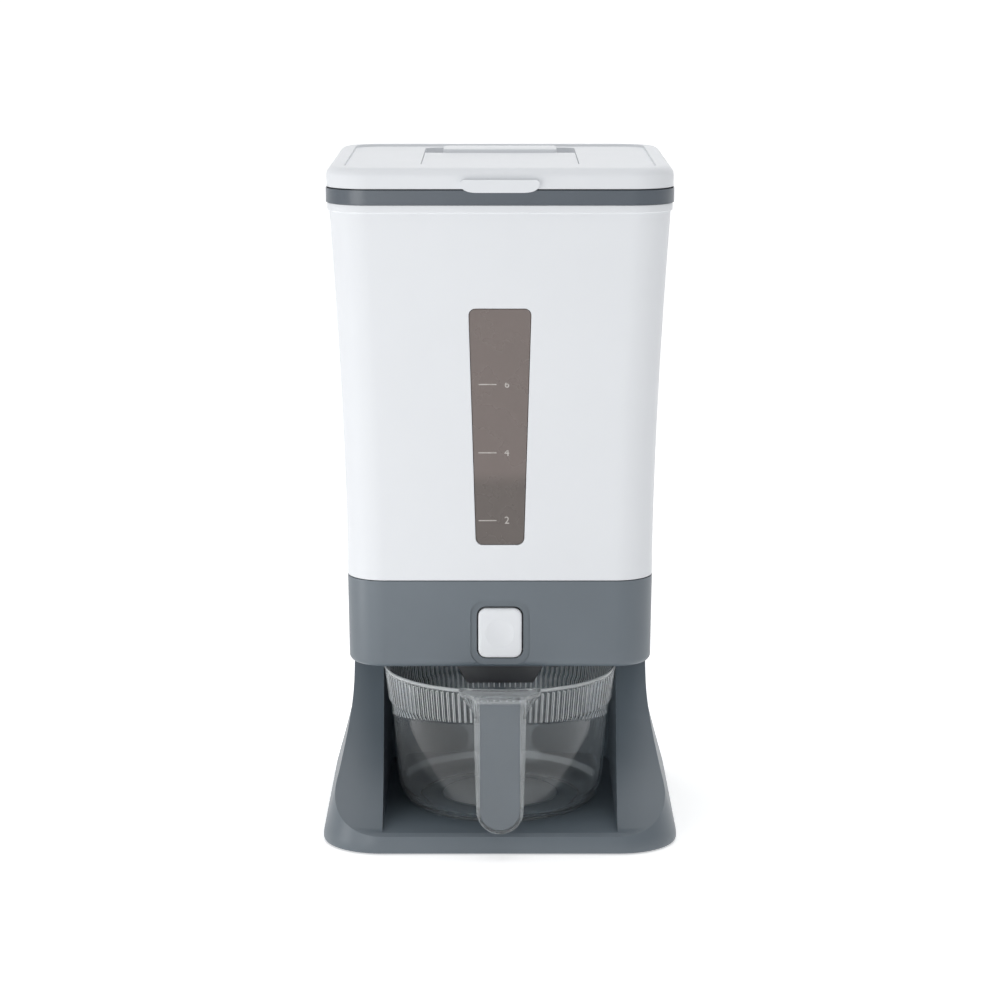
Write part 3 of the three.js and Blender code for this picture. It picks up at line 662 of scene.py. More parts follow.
def make_stand():
    """A hollow shell with a boss over each foot and holes for the screws."""
    shell = cut(stand_body(0), stand_body(WALL))
    for x, y in FOOT_SPOTS.values():
        boss = common(cylinder("z", BOSS_RADIUS, 1.2, STAND_TOP - 0.5, x, y), stand_body(0))
        shell = join(shell, boss)
        socket = cylinder("z", SOCKET_RADIUS, -1, SOCKET_TOP, x, y)
        shell = cut(shell, socket, cylinder("z", STEM_BORE, SOCKET_TOP - 0.3, STEM_BORE_TOP, x, y))
    for x, y in STAND_SCREW_SPOTS:
        shell = cut(shell, cylinder("z", SCREW_BORE, STAND_TOP - 5, STAND_TOP + 1, x, y))
    piece(shell, "stand_moulding", slate, "stand", ["base_shell"], edge=0.9)


def make_feet():
    """Four turned feet, each with a ring that stands on the table and a stem in the stand."""
    for place, (x, y) in FOOT_SPOTS.items():
        foot = lathe(FOOT_PROFILE, 48)
        foot.data.transform(Matrix.Translation((x, y, 0)))
        piece(foot, f"rubber_foot_{place}", foot_rubber, "stand", [f"foot_{place}"])


# ---- housing ----
CHUTE_HALF = 34.5
CHUTE_FRONT = -104.3
CHUTE_BACK = -58
CHUTE_SCREW_SPOTS = [(x, y) for y in (-99, -62) for x in (-40.5, 40.5)]
CHUTE_SCREW_BORE = 1.7
HOUSING_EDGE = 5  # the rounding of its lower edge
HOUSING_LEAN = 0.4  # how far its sides lean out towards the top
FIELD_HALF = 21.5  # the sunk field round the button
FIELD_LOW = 138.7
FIELD_HIGH = 186.3
FIELD_RADIUS = 10
FIELD_DEPTH = 1.3
BUTTON_GAP = 0.9
LEDGE_HALF = 103.5  # the ledge that carries the funnel
LEDGE_LOW = 189
LEDGE_TOP = 191.5
SCREW_POST_RADIUS = 4.5
SCREW_POST_TOP = 150


def housing_body():
    """The housing's outer form: a rounded lower edge and sides that lean out a little."""
    steps = 8
    rings = []
    for i in range(steps + 1):
        angle = radians(90 - 90 * i / steps)
        z = HOUSING_LOW + HOUSING_EDGE * (1 - sin(angle))
        half = HOUSING_HALF - HOUSING_LEAN - HOUSING_EDGE * (1 - cos(angle))
        rings.append(square_level(z, half, NECK_RADIUS - HOUSING_HALF + half))
    rings.append(square_level(HOUSING_TOP, HOUSING_HALF + HOUSING_LEAN, NECK_RADIUS))
    return loft(rings)


def button_hole():
    """The outline of the button's hole, one gap larger than the button."""
    side = BUTTON_HALF + BUTTON_GAP
    return rounded_loop(-side, side, BUTTON_LOW - BUTTON_GAP, BUTTON_HIGH + BUTTON_GAP,
                        BUTTON_RADIUS + BUTTON_GAP)


def make_housing():
    """An open box with the button's hole, the funnel's ledge, screw posts and the springs' posts."""
    inner = loft([
        square_level(HOUSING_FLOOR, HOUSING_HALF - 2.8, NECK_RADIUS - WALL),
        square_level(HOUSING_TOP + 1, HOUSING_HALF - 2, NECK_RADIUS - WALL),
    ])
    field = rounded_loop(-FIELD_HALF, FIELD_HALF, FIELD_LOW, FIELD_HIGH, FIELD_RADIUS)
    under, over, before = HOUSING_LOW - 5, HOUSING_FLOOR + 1, -HOUSING_HALF - 10
    shell = cut(
        housing_body(), inner,
        block(-CHUTE_HALF - 0.5, CHUTE_HALF + 0.5, CHUTE_FRONT - 0.5, CHUTE_BACK + 0.5, under, over),
        front_prism(button_hole(), before, -HOUSING_HALF + 10),
        front_prism(field, before, -HOUSING_HALF + FIELD_DEPTH),
    )
    ledge = square_ring(HOUSING_HALF - 1.5, LEDGE_HALF, LEDGE_LOW, LEDGE_TOP, NECK_RADIUS - 2)
    shell = join(shell, ledge)
    for x, y in STAND_SCREW_SPOTS:
        post = cylinder("z", SCREW_POST_RADIUS, HOUSING_FLOOR - 1, SCREW_POST_TOP, x, y)
        shell = join(shell, post)
        shell = cut(shell, cylinder("z", SCREW_BORE, under, SCREW_POST_TOP - 3, x, y))
    for x, y in CHUTE_SCREW_SPOTS:
        shell = cut(shell, cylinder("z", CHUTE_SCREW_BORE, under, over, x, y))
    for x in (-SPRING_X, SPRING_X):
        post = block(x - 4, x + 4, SPRING_BACK + 0.5, SPRING_BACK + 3.5, HOUSING_FLOOR - 1, SPRING_Z + 5)
        shell = join(shell, post)
    piece(shell, "housing_moulding", slate, "stand", ["dispenser_housing"], edge=0.7)


# ---- button ----
def button_dish(radius, depth):
    """The cutter for the button's dish: a shallow cap of a sphere that opens to the front."""
    middle_z = (BUTTON_LOW + BUTTON_HIGH) / 2
    rings = []
    for share in (1.12, *(tenth / 10 for tenth in range(10, 0, -1)), 0.02):
        y = BUTTON_FACE + depth * (1 - share * share)
        ring = []
        for i in range(64):
            angle = 2 * pi * i / 64
            ring.append((share * radius * cos(angle), y, middle_z + share * radius * sin(angle)))
        rings.append(ring)
    return loft(rings)


def make_button():
    """A cap with well rounded edges and a shallow round dish in the middle of its face."""
    steps, edge_depth, edge_width = 12, 1.6, 2.4
    edge = [(BUTTON_BACK, 0)]
    for i in range(steps + 1):
        angle = radians(90 * i / steps)
        edge.append((BUTTON_FACE + edge_depth * (1 - sin(angle)), edge_width * (1 - cos(angle))))
    rings = []
    for y, shrink in edge:
        inset = shrink + 0.2
        side = BUTTON_HALF - inset
        outline = rounded_loop(-side, side, BUTTON_LOW + inset, BUTTON_HIGH - inset,
                               BUTTON_RADIUS - shrink, 12)
        rings.append([(x, y, z) for x, z in outline])
    side = BUTTON_HALF - 2
    hollow = block(-side, side, BUTTON_FRONT + 2.4, 0, BUTTON_LOW + 2, BUTTON_HIGH - 2, 1)
    cap = cut(loft(rings), hollow, button_dish(radius=10.5, depth=1.1))
    piece(cap, "push_button", white, "gate", ["button_cap"], angle=9)


# ---- springs ----
def coil_spring(x, wire=0.45, coil=2.9, turns=8, steps=24, sides=10):
    """A round wire wound along Y: the wire's radius, then the coil's."""
    along = Vector((0, 1, 0))
    length = SPRING_BACK - SPRING_FRONT - 2 * wire
    rings = []
    for i in range(turns * steps + 1):
        angle = 2 * pi * i / steps
        out = Vector((cos(angle), 0, sin(angle)))
        y = SPRING_FRONT + wire + length * i / (turns * steps)
        middle = Vector((x, y, SPRING_Z)) + coil * out
        ring = []
        for k in range(sides):
            around = 2 * pi * k / sides
            ring.append(tuple(middle + wire * (cos(around) * out + sin(around) * along)))
        rings.append(ring)
    return loft(rings)


def make_springs():
    """Two coils behind the gate's wings."""
    for x, name in ((-SPRING_X, "left"), (SPRING_X, "right")):
        spring = piece(coil_spring(x), f"spring_{name}", zinc_steel, "stand",
                       [f"gate_spring_{name}"], angle=60)
        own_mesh(spring)


# ---- chute ----
CHUTE_LOW = 123.2
FLANGE_LOW = HOUSING_FLOOR + GAP
FLANGE_TOP = 142.4
FLANGE_HALF = 44
FLANGE_FRONT = -106.2
FLANGE_BACK = -57
MOUTH_HALF = 24.6  # the spout's lower opening
MOUTH_BACK = -74
RAIL_TOP = 147.6  # the two rails that guide the gate
RAIL_FRONT = -88.5
RAIL_BACK = -57.5
RAIL_INNER = 36.5
RAIL_OUTER = 38.6
RAIL_LIP = 33


def spout(inset, low, high):
    """The spout's tapered form between two heights, shrunk by an inset."""
    mouth = MOUTH_HALF - inset
    top = CHUTE_HALF - inset
    return loft([
        level(low, -mouth, mouth, CHUTE_FRONT + inset, MOUTH_BACK - inset, 2, 6),
        level(high, -top, top, CHUTE_FRONT + inset, CHUTE_BACK - inset, 2, 6),
    ])


def make_chute():
    """The spout under a flat flange, with two rails on top."""
    flange = block(-FLANGE_HALF, FLANGE_HALF, FLANGE_FRONT, FLANGE_BACK, FLANGE_LOW, FLANGE_TOP, 3, 6)
    chute = join(flange, spout(0, CHUTE_LOW, FLANGE_LOW + 1))
    chute = cut(chute, spout(2, CHUTE_LOW - 0.01, FLANGE_TOP + 0.01))
    for side in (-1, 1):
        rail = []
        for inner, low in ((RAIL_INNER, FLANGE_TOP - 0.5), (RAIL_LIP, RAIL_TOP - 2)):
            x0, x1 = sorted((side * inner, side * RAIL_OUTER))
            rail.append(block(x0, x1, RAIL_FRONT, RAIL_BACK, low, RAIL_TOP))
        chute = join(chute, *rail)
    for x, y in CHUTE_SCREW_SPOTS:
        chute = cut(chute, cylinder("z", CHUTE_SCREW_BORE, FLANGE_LOW - 5, RAIL_TOP, x, y))
    piece(chute, "chute_moulding", chute_painted_shade, "stand", ["outlet_chute"],
          edge=0.4)


# ---- bin ----
BIN_TOP_HALF = 122.4
BIN_LIP_HALF = 123.5  # the thicker lip at the top
BIN_LIP_INNER = 118
BIN_LIP_LOW = 469.5
SPIGOT_HALF = 108.9  # the spigot that stands in the housing
SPIGOT_INNER = 106.5
SPIGOT_LOW = 194.3
WINDOW_CUT = (-130, -100)
PANE_SINK = 0.4  # how far the pane lies behind the bin's face


def bin_half(z):
    """The bin's half width: it flares towards the top, faster and faster."""
    share = (z - BIN_BOTTOM) / (BIN_FLARE_TOP - BIN_BOTTOM)
    return BIN_FOOT_HALF + BIN_FLARE * share ** BIN_FLARE_POWER


def bin_body(inset, low, high):
    """The bin's outer form between two heights, shrunk by an inset."""
    steps = 22
    rings = [square_level(low, BIN_FOOT_HALF - inset, NECK_RADIUS - inset)]
    for i in range(1, steps + 1):
        z = BIN_BOTTOM + (BIN_FLARE_TOP - BIN_BOTTOM) * i / steps
        rings.append(square_level(z, bin_half(z) - inset, NECK_RADIUS - inset))
    rings.append(square_level(high, BIN_TOP_HALF - inset, NECK_RADIUS - inset))
    return loft(rings)


def window_outline(grow):
    """The window's front outline: wider at the top than at the bottom, with round corners."""
    low, high, radius = WINDOW_LOW - grow, WINDOW_HIGH + grow, 5 + grow
    points = []
    for corner in range(4):
        right = 1 if corner < 2 else -1
        z = high - radius if corner in (1, 2) else low + radius
        for i in range(9):
            angle = radians(-90 + 90 * corner + 90 * i / 8)
            height = z + radius * sin(angle)
            half = WINDOW_HALF + grow + (height - low) / (high - low) * WINDOW_SPREAD
            points.append((right * (half - radius) + radius * cos(angle), height))
    return points


def make_bin():
    """The flared shell, open at the top, with a lip, a spigot below and the window's hole."""
    spigot = (SPIGOT_LOW, BIN_BOTTOM + 1)
    mouth = (SPIGOT_LOW - 4, BIN_BOTTOM + 3)
    shell = join(
        bin_body(0, BIN_BOTTOM + 0.2, BIN_TOP),
        square_ring(BIN_LIP_HALF, BIN_LIP_INNER, BIN_LIP_LOW, BIN_TOP, NECK_RADIUS + 1.5),
        loft([square_level(z, SPIGOT_HALF, NECK_RADIUS - 2.8) for z in spigot]),
    )
    shell = cut(
        shell, bin_body(WALL, BIN_BOTTOM + 2.2, BIN_TOP + 1),
        loft([square_level(z, SPIGOT_INNER, NECK_RADIUS - 5) for z in mouth]),
        front_prism(window_outline(0), *WINDOW_CUT),
    )
    piece(shell, "bin_moulding", white, "stand", ["bin_shell"], edge=0.5)


def bin_layer(outer, inner):
    """The bin's wall between two insets."""
    return cut(bin_body(outer, BIN_BOTTOM, BIN_TOP), bin_body(inner, BIN_BOTTOM - 1, BIN_TOP + 1))


def make_window():
    """A pane in the bin's hole, with a wider rim behind the wall."""
    reach = (WINDOW_CUT[0], WINDOW_CUT[1] + 5)
    pane = common(bin_layer(PANE_SINK, 3.4), front_prism(window_outline(-0.35), *reach))
    rim = common(bin_layer(WALL + GAP, 4.4), front_prism(window_outline(3), *reach))
    window = join(pane, rim)
    piece(window, "window_pane", smoked, "stand", ["sight_window"], edge=0.3)


# ---- collar ----
EAR_INNER = 7.4
EAR_OUTER = 11
KNUCKLE_RADIUS = 2.6
PIN_HOLE = 1.5
COLLAR_RADIUS = NECK_RADIUS + 2.5
COLLAR_INNER = 120
COLLAR_BORE = 117.2  # the opening inside the step and the sleeve
SLEEVE_HALF = 118.8
SLEEVE_LOW = 463
# painted shade: this slate lip stands behind the slit under the lid so that the slit looks dark
LIP_HALF = 121.1  # the lip that closes the slit under the lid
LIP_INNER = 119.8
GROOVE_HALF = 123.6
GROOVE_INNER = 121.4
GROOVE_DEPTH = 2.2


def collar_layer(outer, inner, low, high):
    """One ring of the collar, with corners that run parallel to the collar's own."""
    return square_ring(outer, inner, low, high, COLLAR_RADIUS - (COLLAR_HALF - outer))


def make_collar():
    """A ring with a step and a sleeve in the bin, a lip and a groove on top, and the hinge's ears; the
    lip is painted shade, a slate ring that darkens the slit under the lid.
    """
    ring = join(
        collar_layer(COLLAR_HALF, COLLAR_INNER, COLLAR_BOTTOM, COLLAR_TOP),
        collar_layer(COLLAR_INNER + 1, COLLAR_BORE, COLLAR_BOTTOM, COLLAR_BOTTOM + 2.5),
        collar_layer(SLEEVE_HALF, COLLAR_BORE, SLEEVE_LOW, COLLAR_BOTTOM + 0.7),
        collar_layer(LIP_HALF, LIP_INNER, COLLAR_TOP - 1, LID_BOTTOM + 0.9),
    )
    groove = collar_layer(GROOVE_HALF, GROOVE_INNER, COLLAR_TOP - GROOVE_DEPTH, COLLAR_TOP + 1)
    ring = cut(ring, groove)
    for x in (-HINGE_X, HINGE_X):
        for a, b in ((EAR_INNER, EAR_OUTER), (-EAR_OUTER, -EAR_INNER)):
            arm = block(x + a, x + b, COLLAR_HALF - 1.5, HINGE_Y,
                        HINGE_Z - KNUCKLE_RADIUS, HINGE_Z + KNUCKLE_RADIUS)
            ring = join(ring, arm, cylinder("x", KNUCKLE_RADIUS, x + a, x + b, HINGE_Y, HINGE_Z))
            ring = cut(ring, cylinder("x", PIN_HOLE, x + a - 0.5, x + b + 0.5, HINGE_Y, HINGE_Z))
    # the collar takes the darker slate copy as painted shade
    piece(ring, "collar_moulding", painted_shade_slate, "stand", ["collar_ring"], edge=0.45)


# ---- lid ----
WELL_HALF = 57.5
WELL_FRONT = -70
WELL_REAR = 98
WELL_FLOOR = 494.2
WELL_RADIUS = 10
WELL_WALL = 2.2
BASKET_HALF = 40
BASKET_FRONT = -42
BASKET_REAR = 46
BASKET_GAP = 0.4
GRIP_HALF = 43.5
GRIP_FRONT = 60
GRIP_RADIUS = 4
LID_EDGE_RISE = 6
LID_EDGE_RUN = 7
LID_RADIUS = NECK_RADIUS + 2
LID_WALL = 2.4
LID_CEILING = 496.7  # the underside of the lid's plate
PANEL_TOP = 499.3  # the flat panel inside the framed edge
PANEL_HALF = 111
PANEL_RADIUS = 18
PLUG_HALF = 116.8
PLUG_INNER = 114.6
PLUG_LOW = 478.5
TAB_FRONT = -128.2
TAB_BACK = -125
TAB_CORNER = [(16.5, 484.2), (27, 484.4), (27.8, 489.6)]
TAB_TOP = [(27.8, 491.6), (26.2, 493.2)]
KNUCKLE_HALF = 7


def tab_outline():
    """The finger tab's front outline: a straight lower edge with round corners."""
    (x0, z0), (x1, z1), (x2, z2) = TAB_CORNER
    right = []
    for i in range(13):
        t = i / 12
        start, bend, end = (1 - t) ** 2, 2 * t * (1 - t), t * t
        right.append((start * x0 + bend * x1 + end * x2, start * z0 + bend * z1 + end * z2))
    right += TAB_TOP
    left = [(-x, z) for x, z in reversed(right)]
    return [*right, *left]


def lid_form():
    """The lid's plate and skirt, rounded at the top, with a panel sunk inside the edge."""
    steps = 10
    edge = [(LID_BOTTOM, 0)]
    for i in range(steps + 1):
        angle = radians(90 * i / steps)
        edge.append((LID_TOP - LID_EDGE_RISE * (1 - sin(angle)), LID_EDGE_RUN * (1 - cos(angle))))
    inside = LID_HALF - LID_WALL
    return cut(
        loft([square_level(z, LID_HALF - shrink, LID_RADIUS - shrink) for z, shrink in edge]),
        loft([square_level(z, inside, LID_RADIUS - LID_WALL) for z in (LID_BOTTOM - 1, LID_CEILING)]),
        loft([square_level(PANEL_TOP, PANEL_HALF, PANEL_RADIUS),
              square_level(LID_TOP + 2, PANEL_HALF + 0.8, PANEL_RADIUS + 0.8)]),
    )


def well_block(grow, low, high, radius):
    """The lid's dish as a block between two heights, grown on every side."""
    half = WELL_HALF + grow
    return block(-half, half, WELL_FRONT - grow, WELL_REAR + grow, low, high, radius)


def make_lid():
    """The lid with its plug, the cover's dish, the basket's hole, the tab and two hinge knuckles."""
    lid = join(
        lid_form(),
        square_ring(PLUG_HALF, PLUG_INNER, PLUG_LOW, LID_CEILING + 0.8, NECK_RADIUS - 5),
        well_block(WELL_WALL, WELL_FLOOR - 2, PANEL_TOP - 1.3, WELL_RADIUS + 2),
    )
    hole = BASKET_HALF + BASKET_GAP
    lid = cut(
        lid, well_block(0, WELL_FLOOR, LID_TOP + 4, WELL_RADIUS),
        block(-hole, hole, BASKET_FRONT - BASKET_GAP, BASKET_REAR + BASKET_GAP,
              WELL_FLOOR - 5, WELL_FLOOR + 5, 6),
    )
    tab = tab_outline()
    root = common(front_prism(tab, TAB_BACK - 1, TAB_BACK + 2),
                  block(-40, 40, TAB_BACK - 2, TAB_BACK + 5, LID_BOTTOM + 0.3, 494))
    lid = join(lid, front_prism(tab, TAB_FRONT, TAB_BACK), root)
    back = HINGE_Y + KNUCKLE_RADIUS
    arm_top = LID_BOTTOM + 3.5
    for x in (-HINGE_X, HINGE_X):
        x0, x1 = x - KNUCKLE_HALF, x + KNUCKLE_HALF
        lid = join(
            lid, cylinder("x", KNUCKLE_RADIUS, x0, x1, HINGE_Y, HINGE_Z),
            block(x0, x1, HINGE_Y - KNUCKLE_RADIUS, back, HINGE_Z, arm_top),
            block(x0, x1, LID_HALF - 1, back, LID_BOTTOM + 0.5, arm_top),
        )
        lid = cut(lid, cylinder("x", PIN_HOLE, x0 - 1, x1 + 1, HINGE_Y, HINGE_Z))
    piece(lid, "lid_moulding", white, "lid", ["lid_shell"], edge=0.45)


def make_seal():
    """The soft ring round the lid's plug."""
    inner = PLUG_HALF + GAP
    ring = square_ring(119, inner, PLUG_LOW + 1, PLUG_LOW + 4, NECK_RADIUS - 3.4)
    piece(ring, "lid_gasket", seal_silicone, "lid", ["lid_seal"], edge=0.5)


def grip_level(z, inset):
    """The raised grip's plan at a height, shrunk by an inset."""
    half = GRIP_HALF - inset
    return level(z, -half, half, GRIP_FRONT + inset, WELL_REAR - GAP - inset, GRIP_RADIUS - inset)


def make_cover():
    """A thin plate in the lid's dish, notched on both sides of a raised grip."""
    rear = WELL_REAR - GAP
    half = WELL_HALF - GAP
    front = WELL_FRONT + 0.6
    low = WELL_FLOOR + 2
    cover = cut(
        block(-half, half, front, rear, WELL_FLOOR + GAP, low + 2, WELL_RADIUS - 0.6),
        block(-half + 2, half - 2, front + 2, rear - 2, low - 6, low, WELL_RADIUS - 2.6),
        block(-half - 3, -GRIP_HALF, GRIP_FRONT, rear + 10, low - 6, low + 4),
        block(GRIP_HALF, half + 3, GRIP_FRONT, rear + 10, low - 6, low + 4),
    )
    edge = ((low, 0), (LID_TOP - 1.2, 0), (LID_TOP - 0.35, 0.35), (LID_TOP, 1.2))
    cover = join(cover, loft([grip_level(z, inset) for z, inset in edge]))
    piece(cover, "cover_moulding", white, "lid_cover", ["desiccant_cover"], edge=0.4)


# ---- bowl ----
BOWL_OUTSIDE = [
    (66, BOWL_LOW), (72, 20.2), (75.3, 27), (77.6, 37), (80.1, 72), (81, 90), (83.5, 96),
]
BOWL_INSIDE = [
    (81.5, 96.5), (79, 91), (78, 72), (75.5, 37.5), (72.9, 28), (69.5, 22.6), (64.5, 20.3),
]
BOWL_UNDERSIDE = [(0, 17.3), (60, 17.3), (61, BOWL_LOW)]
# the room inside the bowl, which its handle doesn't reach into
BOWL_ROOM = [
    (0, DISC_TOP), (64.5, DISC_TOP), (69.5, 22.6), (75.5, 37.5), (78.3, 80), (81.5, 96.5),
    (84.4, 119), (85.6, 132), (0, 132),
]


def bowl_wall():
    """The bowl without its handle: one profile from the middle of its underside to its disc."""
    outside = BOWL_UNDERSIDE + smooth_profile(BOWL_OUTSIDE, 4)
    shares = (0.04, 0.08, 0.3, 0.5, 0.7, 0.93, 0.97, 1)
    band = [(BAND_RADIUS + BAND_SPREAD * t, BAND_LOW + BAND_HEIGHT * t) for t in shares]
    rim = [(86.9, RIM_LOW), (BOWL_RADIUS, RIM_LOW + 0.7), (BOWL_RADIUS, BOWL_RIM - 0.6),
           (BOWL_RADIUS - 0.6, BOWL_RIM), (85.9, BOWL_RIM), (85.3, 121.5), (84.2, 118.5)]
    inside = smooth_profile(BOWL_INSIDE, 4)
    disc = [(DISC_RADIUS + 1, 20.3), (DISC_RADIUS, 20.5), (DISC_RADIUS - 1, DISC_TOP), (0, DISC_TOP)]
    return lathe([*split_wall(outside), *band, *rim, *inside, *disc], RIBS * RIB_SIDES, ribbed)


def split_wall(profile):
    """Adds levels over the ribs' lower ends, so that each rib can stop at its own height."""
    out = [profile[0]]
    for (r0, z0), (r1, z1) in zip(profile, profile[1:]):
        count = round((z1 - z0) / 1.6) if z0 > 60 else 1
        for i in range(1, count):
            out.append((r0 + (r1 - r0) * i / count, z0 + (z1 - z0) * i / count))
        out.append((r1, z1))
    return out


def ribbed(r, z, i):
    """Pushes the outer wall out along narrow upright ribs."""
    front = max(0.0, -sin(2 * pi * i / (RIBS * RIB_SIDES)))
    outer = r > outer_radius(z) - 1
    if not outer or not RIB_FOOT + RIB_FOOT_RISE * front < z < RIB_TOP:
        return r
    return r + (RIB_DEPTH if i % RIB_SIDES < 2 else 0)


def outer_radius(z):
    """The bowl's outer radius at a height, from its outer profile."""
    points = [*BOWL_OUTSIDE, (BAND_RADIUS + BAND_SPREAD, BAND_LOW + BAND_HEIGHT)]
    for (r0, z0), (r1, z1) in zip(points, points[1:]):
        if z0 <= z <= z1:
            return r0 + (r1 - r0) * (z - z0) / (z1 - z0)
    return points[-1][0]


HANDLE_END = 17.1  # the half width of its round lower end
HANDLE_HALF = 18.7  # and its half width at the top
THUMB_WINGS = [
    (HANDLE_HALF, HANDLE_FRONT), (19, -143), (21.5, -137), (26.5, -131), (29.5, -127), (30, -116),
]
PLATE_TOP = RIM_LOW + 3
CHEEK_LOW = 106  # the cheeks between the handle and the thumb plate
CHEEK_TOP = 120
CHEEK_WALL = 2.4


def tongue_outline(end, sides):
    """A tongue's front outline: a round lower end, then up its sides to a flat top."""
    end_z = HANDLE_LOW + HANDLE_END
    lower = []
    for i in range(33):
        angle = pi + pi * i / 32
        lower.append((end * cos(angle), end_z + end * sin(angle)))
    return [*lower, *sides, *[(-x, z) for x, z in reversed(sides)]]


def thumb_plan(z, spread, inset):
    """The thumb plate's plan: wide at the bowl's rim, curving in to the handle."""
    right = []
    for i, (x, y) in enumerate(smooth_profile(THUMB_WINGS, 4)):
        half = HANDLE_HALF + (x - HANDLE_HALF) * spread - inset
        right.append((half, y + inset if i == 0 else y, z))
    return [*right, *[(-x, y, height) for x, y, height in reversed(right)]]


def bowl_handle():
    """The handle's clear shell, open at its rear, with a thumb plate and two cheeks under it."""
    back = HANDLE_FRONT + HANDLE_DEPTH
    outline = tongue_outline(HANDLE_END, [(18.2, 75), (HANDLE_HALF, CHEEK_LOW), (HANDLE_HALF, 121)])
    skin = round_edges(front_prism(outline, HANDLE_FRONT, back), 1.0)
    room = INSERT_HALF + GAP
    hollow = front_prism(tongue_outline(room, [(room, RIM_LOW - 0.5)]), HANDLE_FRONT + 2.8, back + 1)
    plate = round_edges(loft([thumb_plan(z, 1, 0) for z in (RIM_LOW, PLATE_TOP)]), 0.8)
    cheeks = loft([thumb_plan(CHEEK_LOW, 0, 0), thumb_plan(CHEEK_TOP, 1, 0)])
    between = loft([thumb_plan(CHEEK_LOW - 0.1, 0, CHEEK_WALL),
                    thumb_plan(CHEEK_TOP + 0.1, 1, CHEEK_WALL)])
    behind = common(between, block(-40, 40, back, back + 40, CHEEK_LOW - 1, RIM_LOW))
    cheeks = cut(cheeks, behind, block(-40, 40, HANDLE_FRONT - 1, back, CHEEK_LOW - 6, RIM_LOW))
    return join(cut(skin, hollow), plate, cheeks)


def make_bowl():
    """The bowl and its handle as one clear moulding."""
    wall = bowl_wall()
    room = lathe(BOWL_ROOM, 96)
    for turned in (wall, room):
        turned.data.transform(Matrix.Translation((0, BOWL_Y, 0)))
    bowl = join(wall, cut(bowl_handle(), room))
    piece(bowl, "bowl_moulding", clear, "bowl", ["measuring_bowl"], angle=40)


def make_insert():
    """The slate piece that fills the handle's shell."""
    outline = tongue_outline(INSERT_HALF, [(INSERT_HALF, RIM_LOW - 0.9)])
    insert = front_prism(outline, HANDLE_FRONT + 3.1, HANDLE_FRONT + HANDLE_DEPTH - 0.4)
    # the insert takes the darker slate copy as painted shade
    piece(insert, "insert_moulding", painted_shade_slate, "bowl", ["handle_insert"], edge=0.5)


# ---- carried-over pieces ----
def dress(node, material):
    """Gives a carried-over CAD node its material and smooth shading."""
    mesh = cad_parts[node].data
    mesh.materials.clear()
    mesh.materials.append(material)
    mesh.shade_smooth()
    mesh.set_sharp_from_angle(angle=radians(35))


def dress_inner_pieces():
    """Looks of the CAD nodes that scene.py keeps: the inner mouldings, the sachet and the metal."""
    for node in ("hopper_funnel", "gate_slide", "desiccant_basket"):
        dress(node, inner_white)
    dress("desiccant_sachet", sachet_paper)
    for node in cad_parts:
        # the chute's screws are darkened as painted shade
        if node.startswith("chute_screw"):
            dress(node, painted_shade_steel)
        elif "screw" in node or "pin" in node or "spring" in node:
            dress(node, zinc_steel)


# ---- the window's scale ----
FIRST_MARK = 246
MARK_STEP = 50
TICK_LEFT = -15.5
TICK_RIGHT = -2.5
TICK_HALF = 0.35
NUMBER_X = 5
NUMBER_SIZE = 7.5
INK_HEIGHT = 0.06


def make_scale():
    """Level marks with a number each, printed on the pane."""
    for i, value in enumerate((2, 4, 6)):
        z = FIRST_MARK + i * MARK_STEP
        half = bin_half(z) - PANE_SINK
        tick = block(TICK_LEFT, TICK_RIGHT, -half - 0.02, -half + 0.2, z - TICK_HALF, z + TICK_HALF)
        piece(tick, f"scale_mark_{value}", scale_ink, "stand", [])
        curve = bpy.data.curves.new(f"scale_number_{value}", "FONT")
        curve.body = str(value)
        curve.size = NUMBER_SIZE * MM
        curve.extrude = INK_HEIGHT * MM
        curve.align_x = "CENTER"
        curve.align_y = "CENTER"
        curve.materials.append(scale_ink)
        number = bpy.data.objects.new(curve.name, curve)
        number.rotation_euler = (radians(90), 0, 0)
        number.location = (NUMBER_X * MM, (STAND_Y - half) * MM, z * MM)
        bpy.context.scene.collection.objects.link(number)
        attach(number, "stand")


# ---- stage, light and camera, in metres ----
CAMERA_PITCH = 10.9  # degrees that it looks down


def stage_material():
    """Pale paper that glows a little, so that it stays even in the light's fall-off."""
    m = Nodes("studio_paper")
    m.colour(m.noise(3, 2), (0.90, 0.90, 0.90, 1), (0.93, 0.93, 0.93, 1))
    m.set(Roughness=0.9, Emission_Color=(1, 1, 1, 1), Emission_Strength=0.45)
    return m.material


def make_stage():
    """A sheet of studio paper that sweeps up behind the object."""
    width, front, back, height, radius = 9.0, -9.0, 3.0, 5.0, 1.2
    path = [(front, 0.0), (back - radius, 0.0)]
    for i in range(1, 17):
        angle = radians(90 * i / 16)
        path.append((back - radius + radius * sin(angle), radius * (1 - cos(angle))))
    path.append((back, height))
    bm = bmesh.new()
    rows = [[bm.verts.new((x, y, z)) for x in (-width, width)] for y, z in path]
    for a, b in zip(rows, rows[1:]):
        bm.faces.new((a[0], a[1], b[1], b[0]))
    floor = new_object("studio_sweep", bm)
    floor.data.shade_smooth()
    floor.data.materials.append(stage_material())


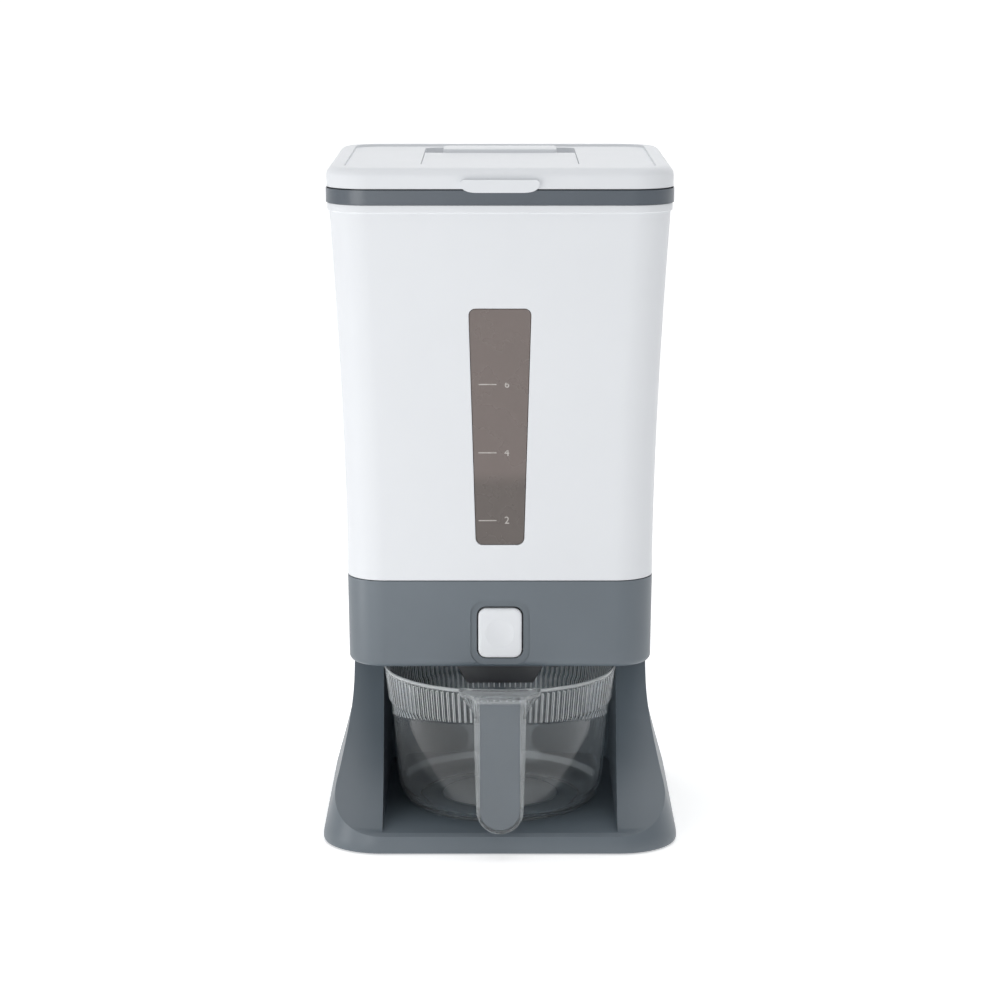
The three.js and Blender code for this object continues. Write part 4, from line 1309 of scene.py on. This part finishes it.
def area_light(name, place, target, size, power):
    """A rectangular lamp at a place, turned to a target."""
    data = bpy.data.lights.new(name, "AREA")
    data.shape = "RECTANGLE"
    data.size, data.size_y = size
    data.energy = power
    lamp = bpy.data.objects.new(name, data)
    lamp.location = place
    lamp.rotation_euler = (Vector(target) - Vector(place)).to_track_quat("-Z", "Y").to_euler()
    bpy.context.scene.collection.objects.link(lamp)


def make_light():
    """Four soft lamps and a pale world, which is brighter where the camera sees it directly."""
    world = bpy.data.worlds.new("studio")
    world.use_nodes = True
    tree = world.node_tree
    background = tree.nodes["Background"]
    background.inputs["Color"].default_value = (0.97, 0.985, 1.0, 1.0)
    path = tree.nodes.new("ShaderNodeLightPath")
    strength = tree.nodes.new("ShaderNodeMapRange")
    strength.inputs["To Min"].default_value = 0.44
    strength.inputs["To Max"].default_value = 1.0
    tree.links.new(path.outputs["Is Camera Ray"], strength.inputs["Value"])
    tree.links.new(strength.outputs["Result"], background.inputs["Strength"])
    bpy.context.scene.world = world
    area_light("side", (-0.85, -0.3, 0.14), (0, 0, 0.12), (0.3, 0.24), 0.9)
    area_light("key", (-0.7, -1.15, 0.4), (0, 0, 0.2), (0.8, 0.6), 3.0)
    area_light("low", (-0.4, -2.0, 0.25), (0, 0, 0.1), (1.4, 0.4), 1.0)
    area_light("top", (0, -0.2, 2.2), (0, 0, 0.3), (1.6, 1.6), 15)


def make_camera():
    """The camera at the photograph's viewing angle."""
    data = bpy.data.cameras.new("camera")
    data.lens = 108
    data.sensor_width = 36
    data.clip_end = 50
    camera = bpy.data.objects.new("camera", data)
    camera.location = (0, -2.2305, 0.671)
    camera.rotation_euler = (radians(90 - CAMERA_PITCH), 0, 0)
    bpy.context.scene.collection.objects.link(camera)
    bpy.context.scene.camera = camera


make_stand()
make_feet()
make_housing()
make_button()
make_springs()
make_chute()
make_bin()
make_window()
make_collar()
make_lid()
make_seal()
make_cover()
make_bowl()
make_insert()
dress_inner_pieces()
make_scale()
make_stage()
make_light()
make_camera()
bpy.context.scene.view_settings.view_transform = "Standard"
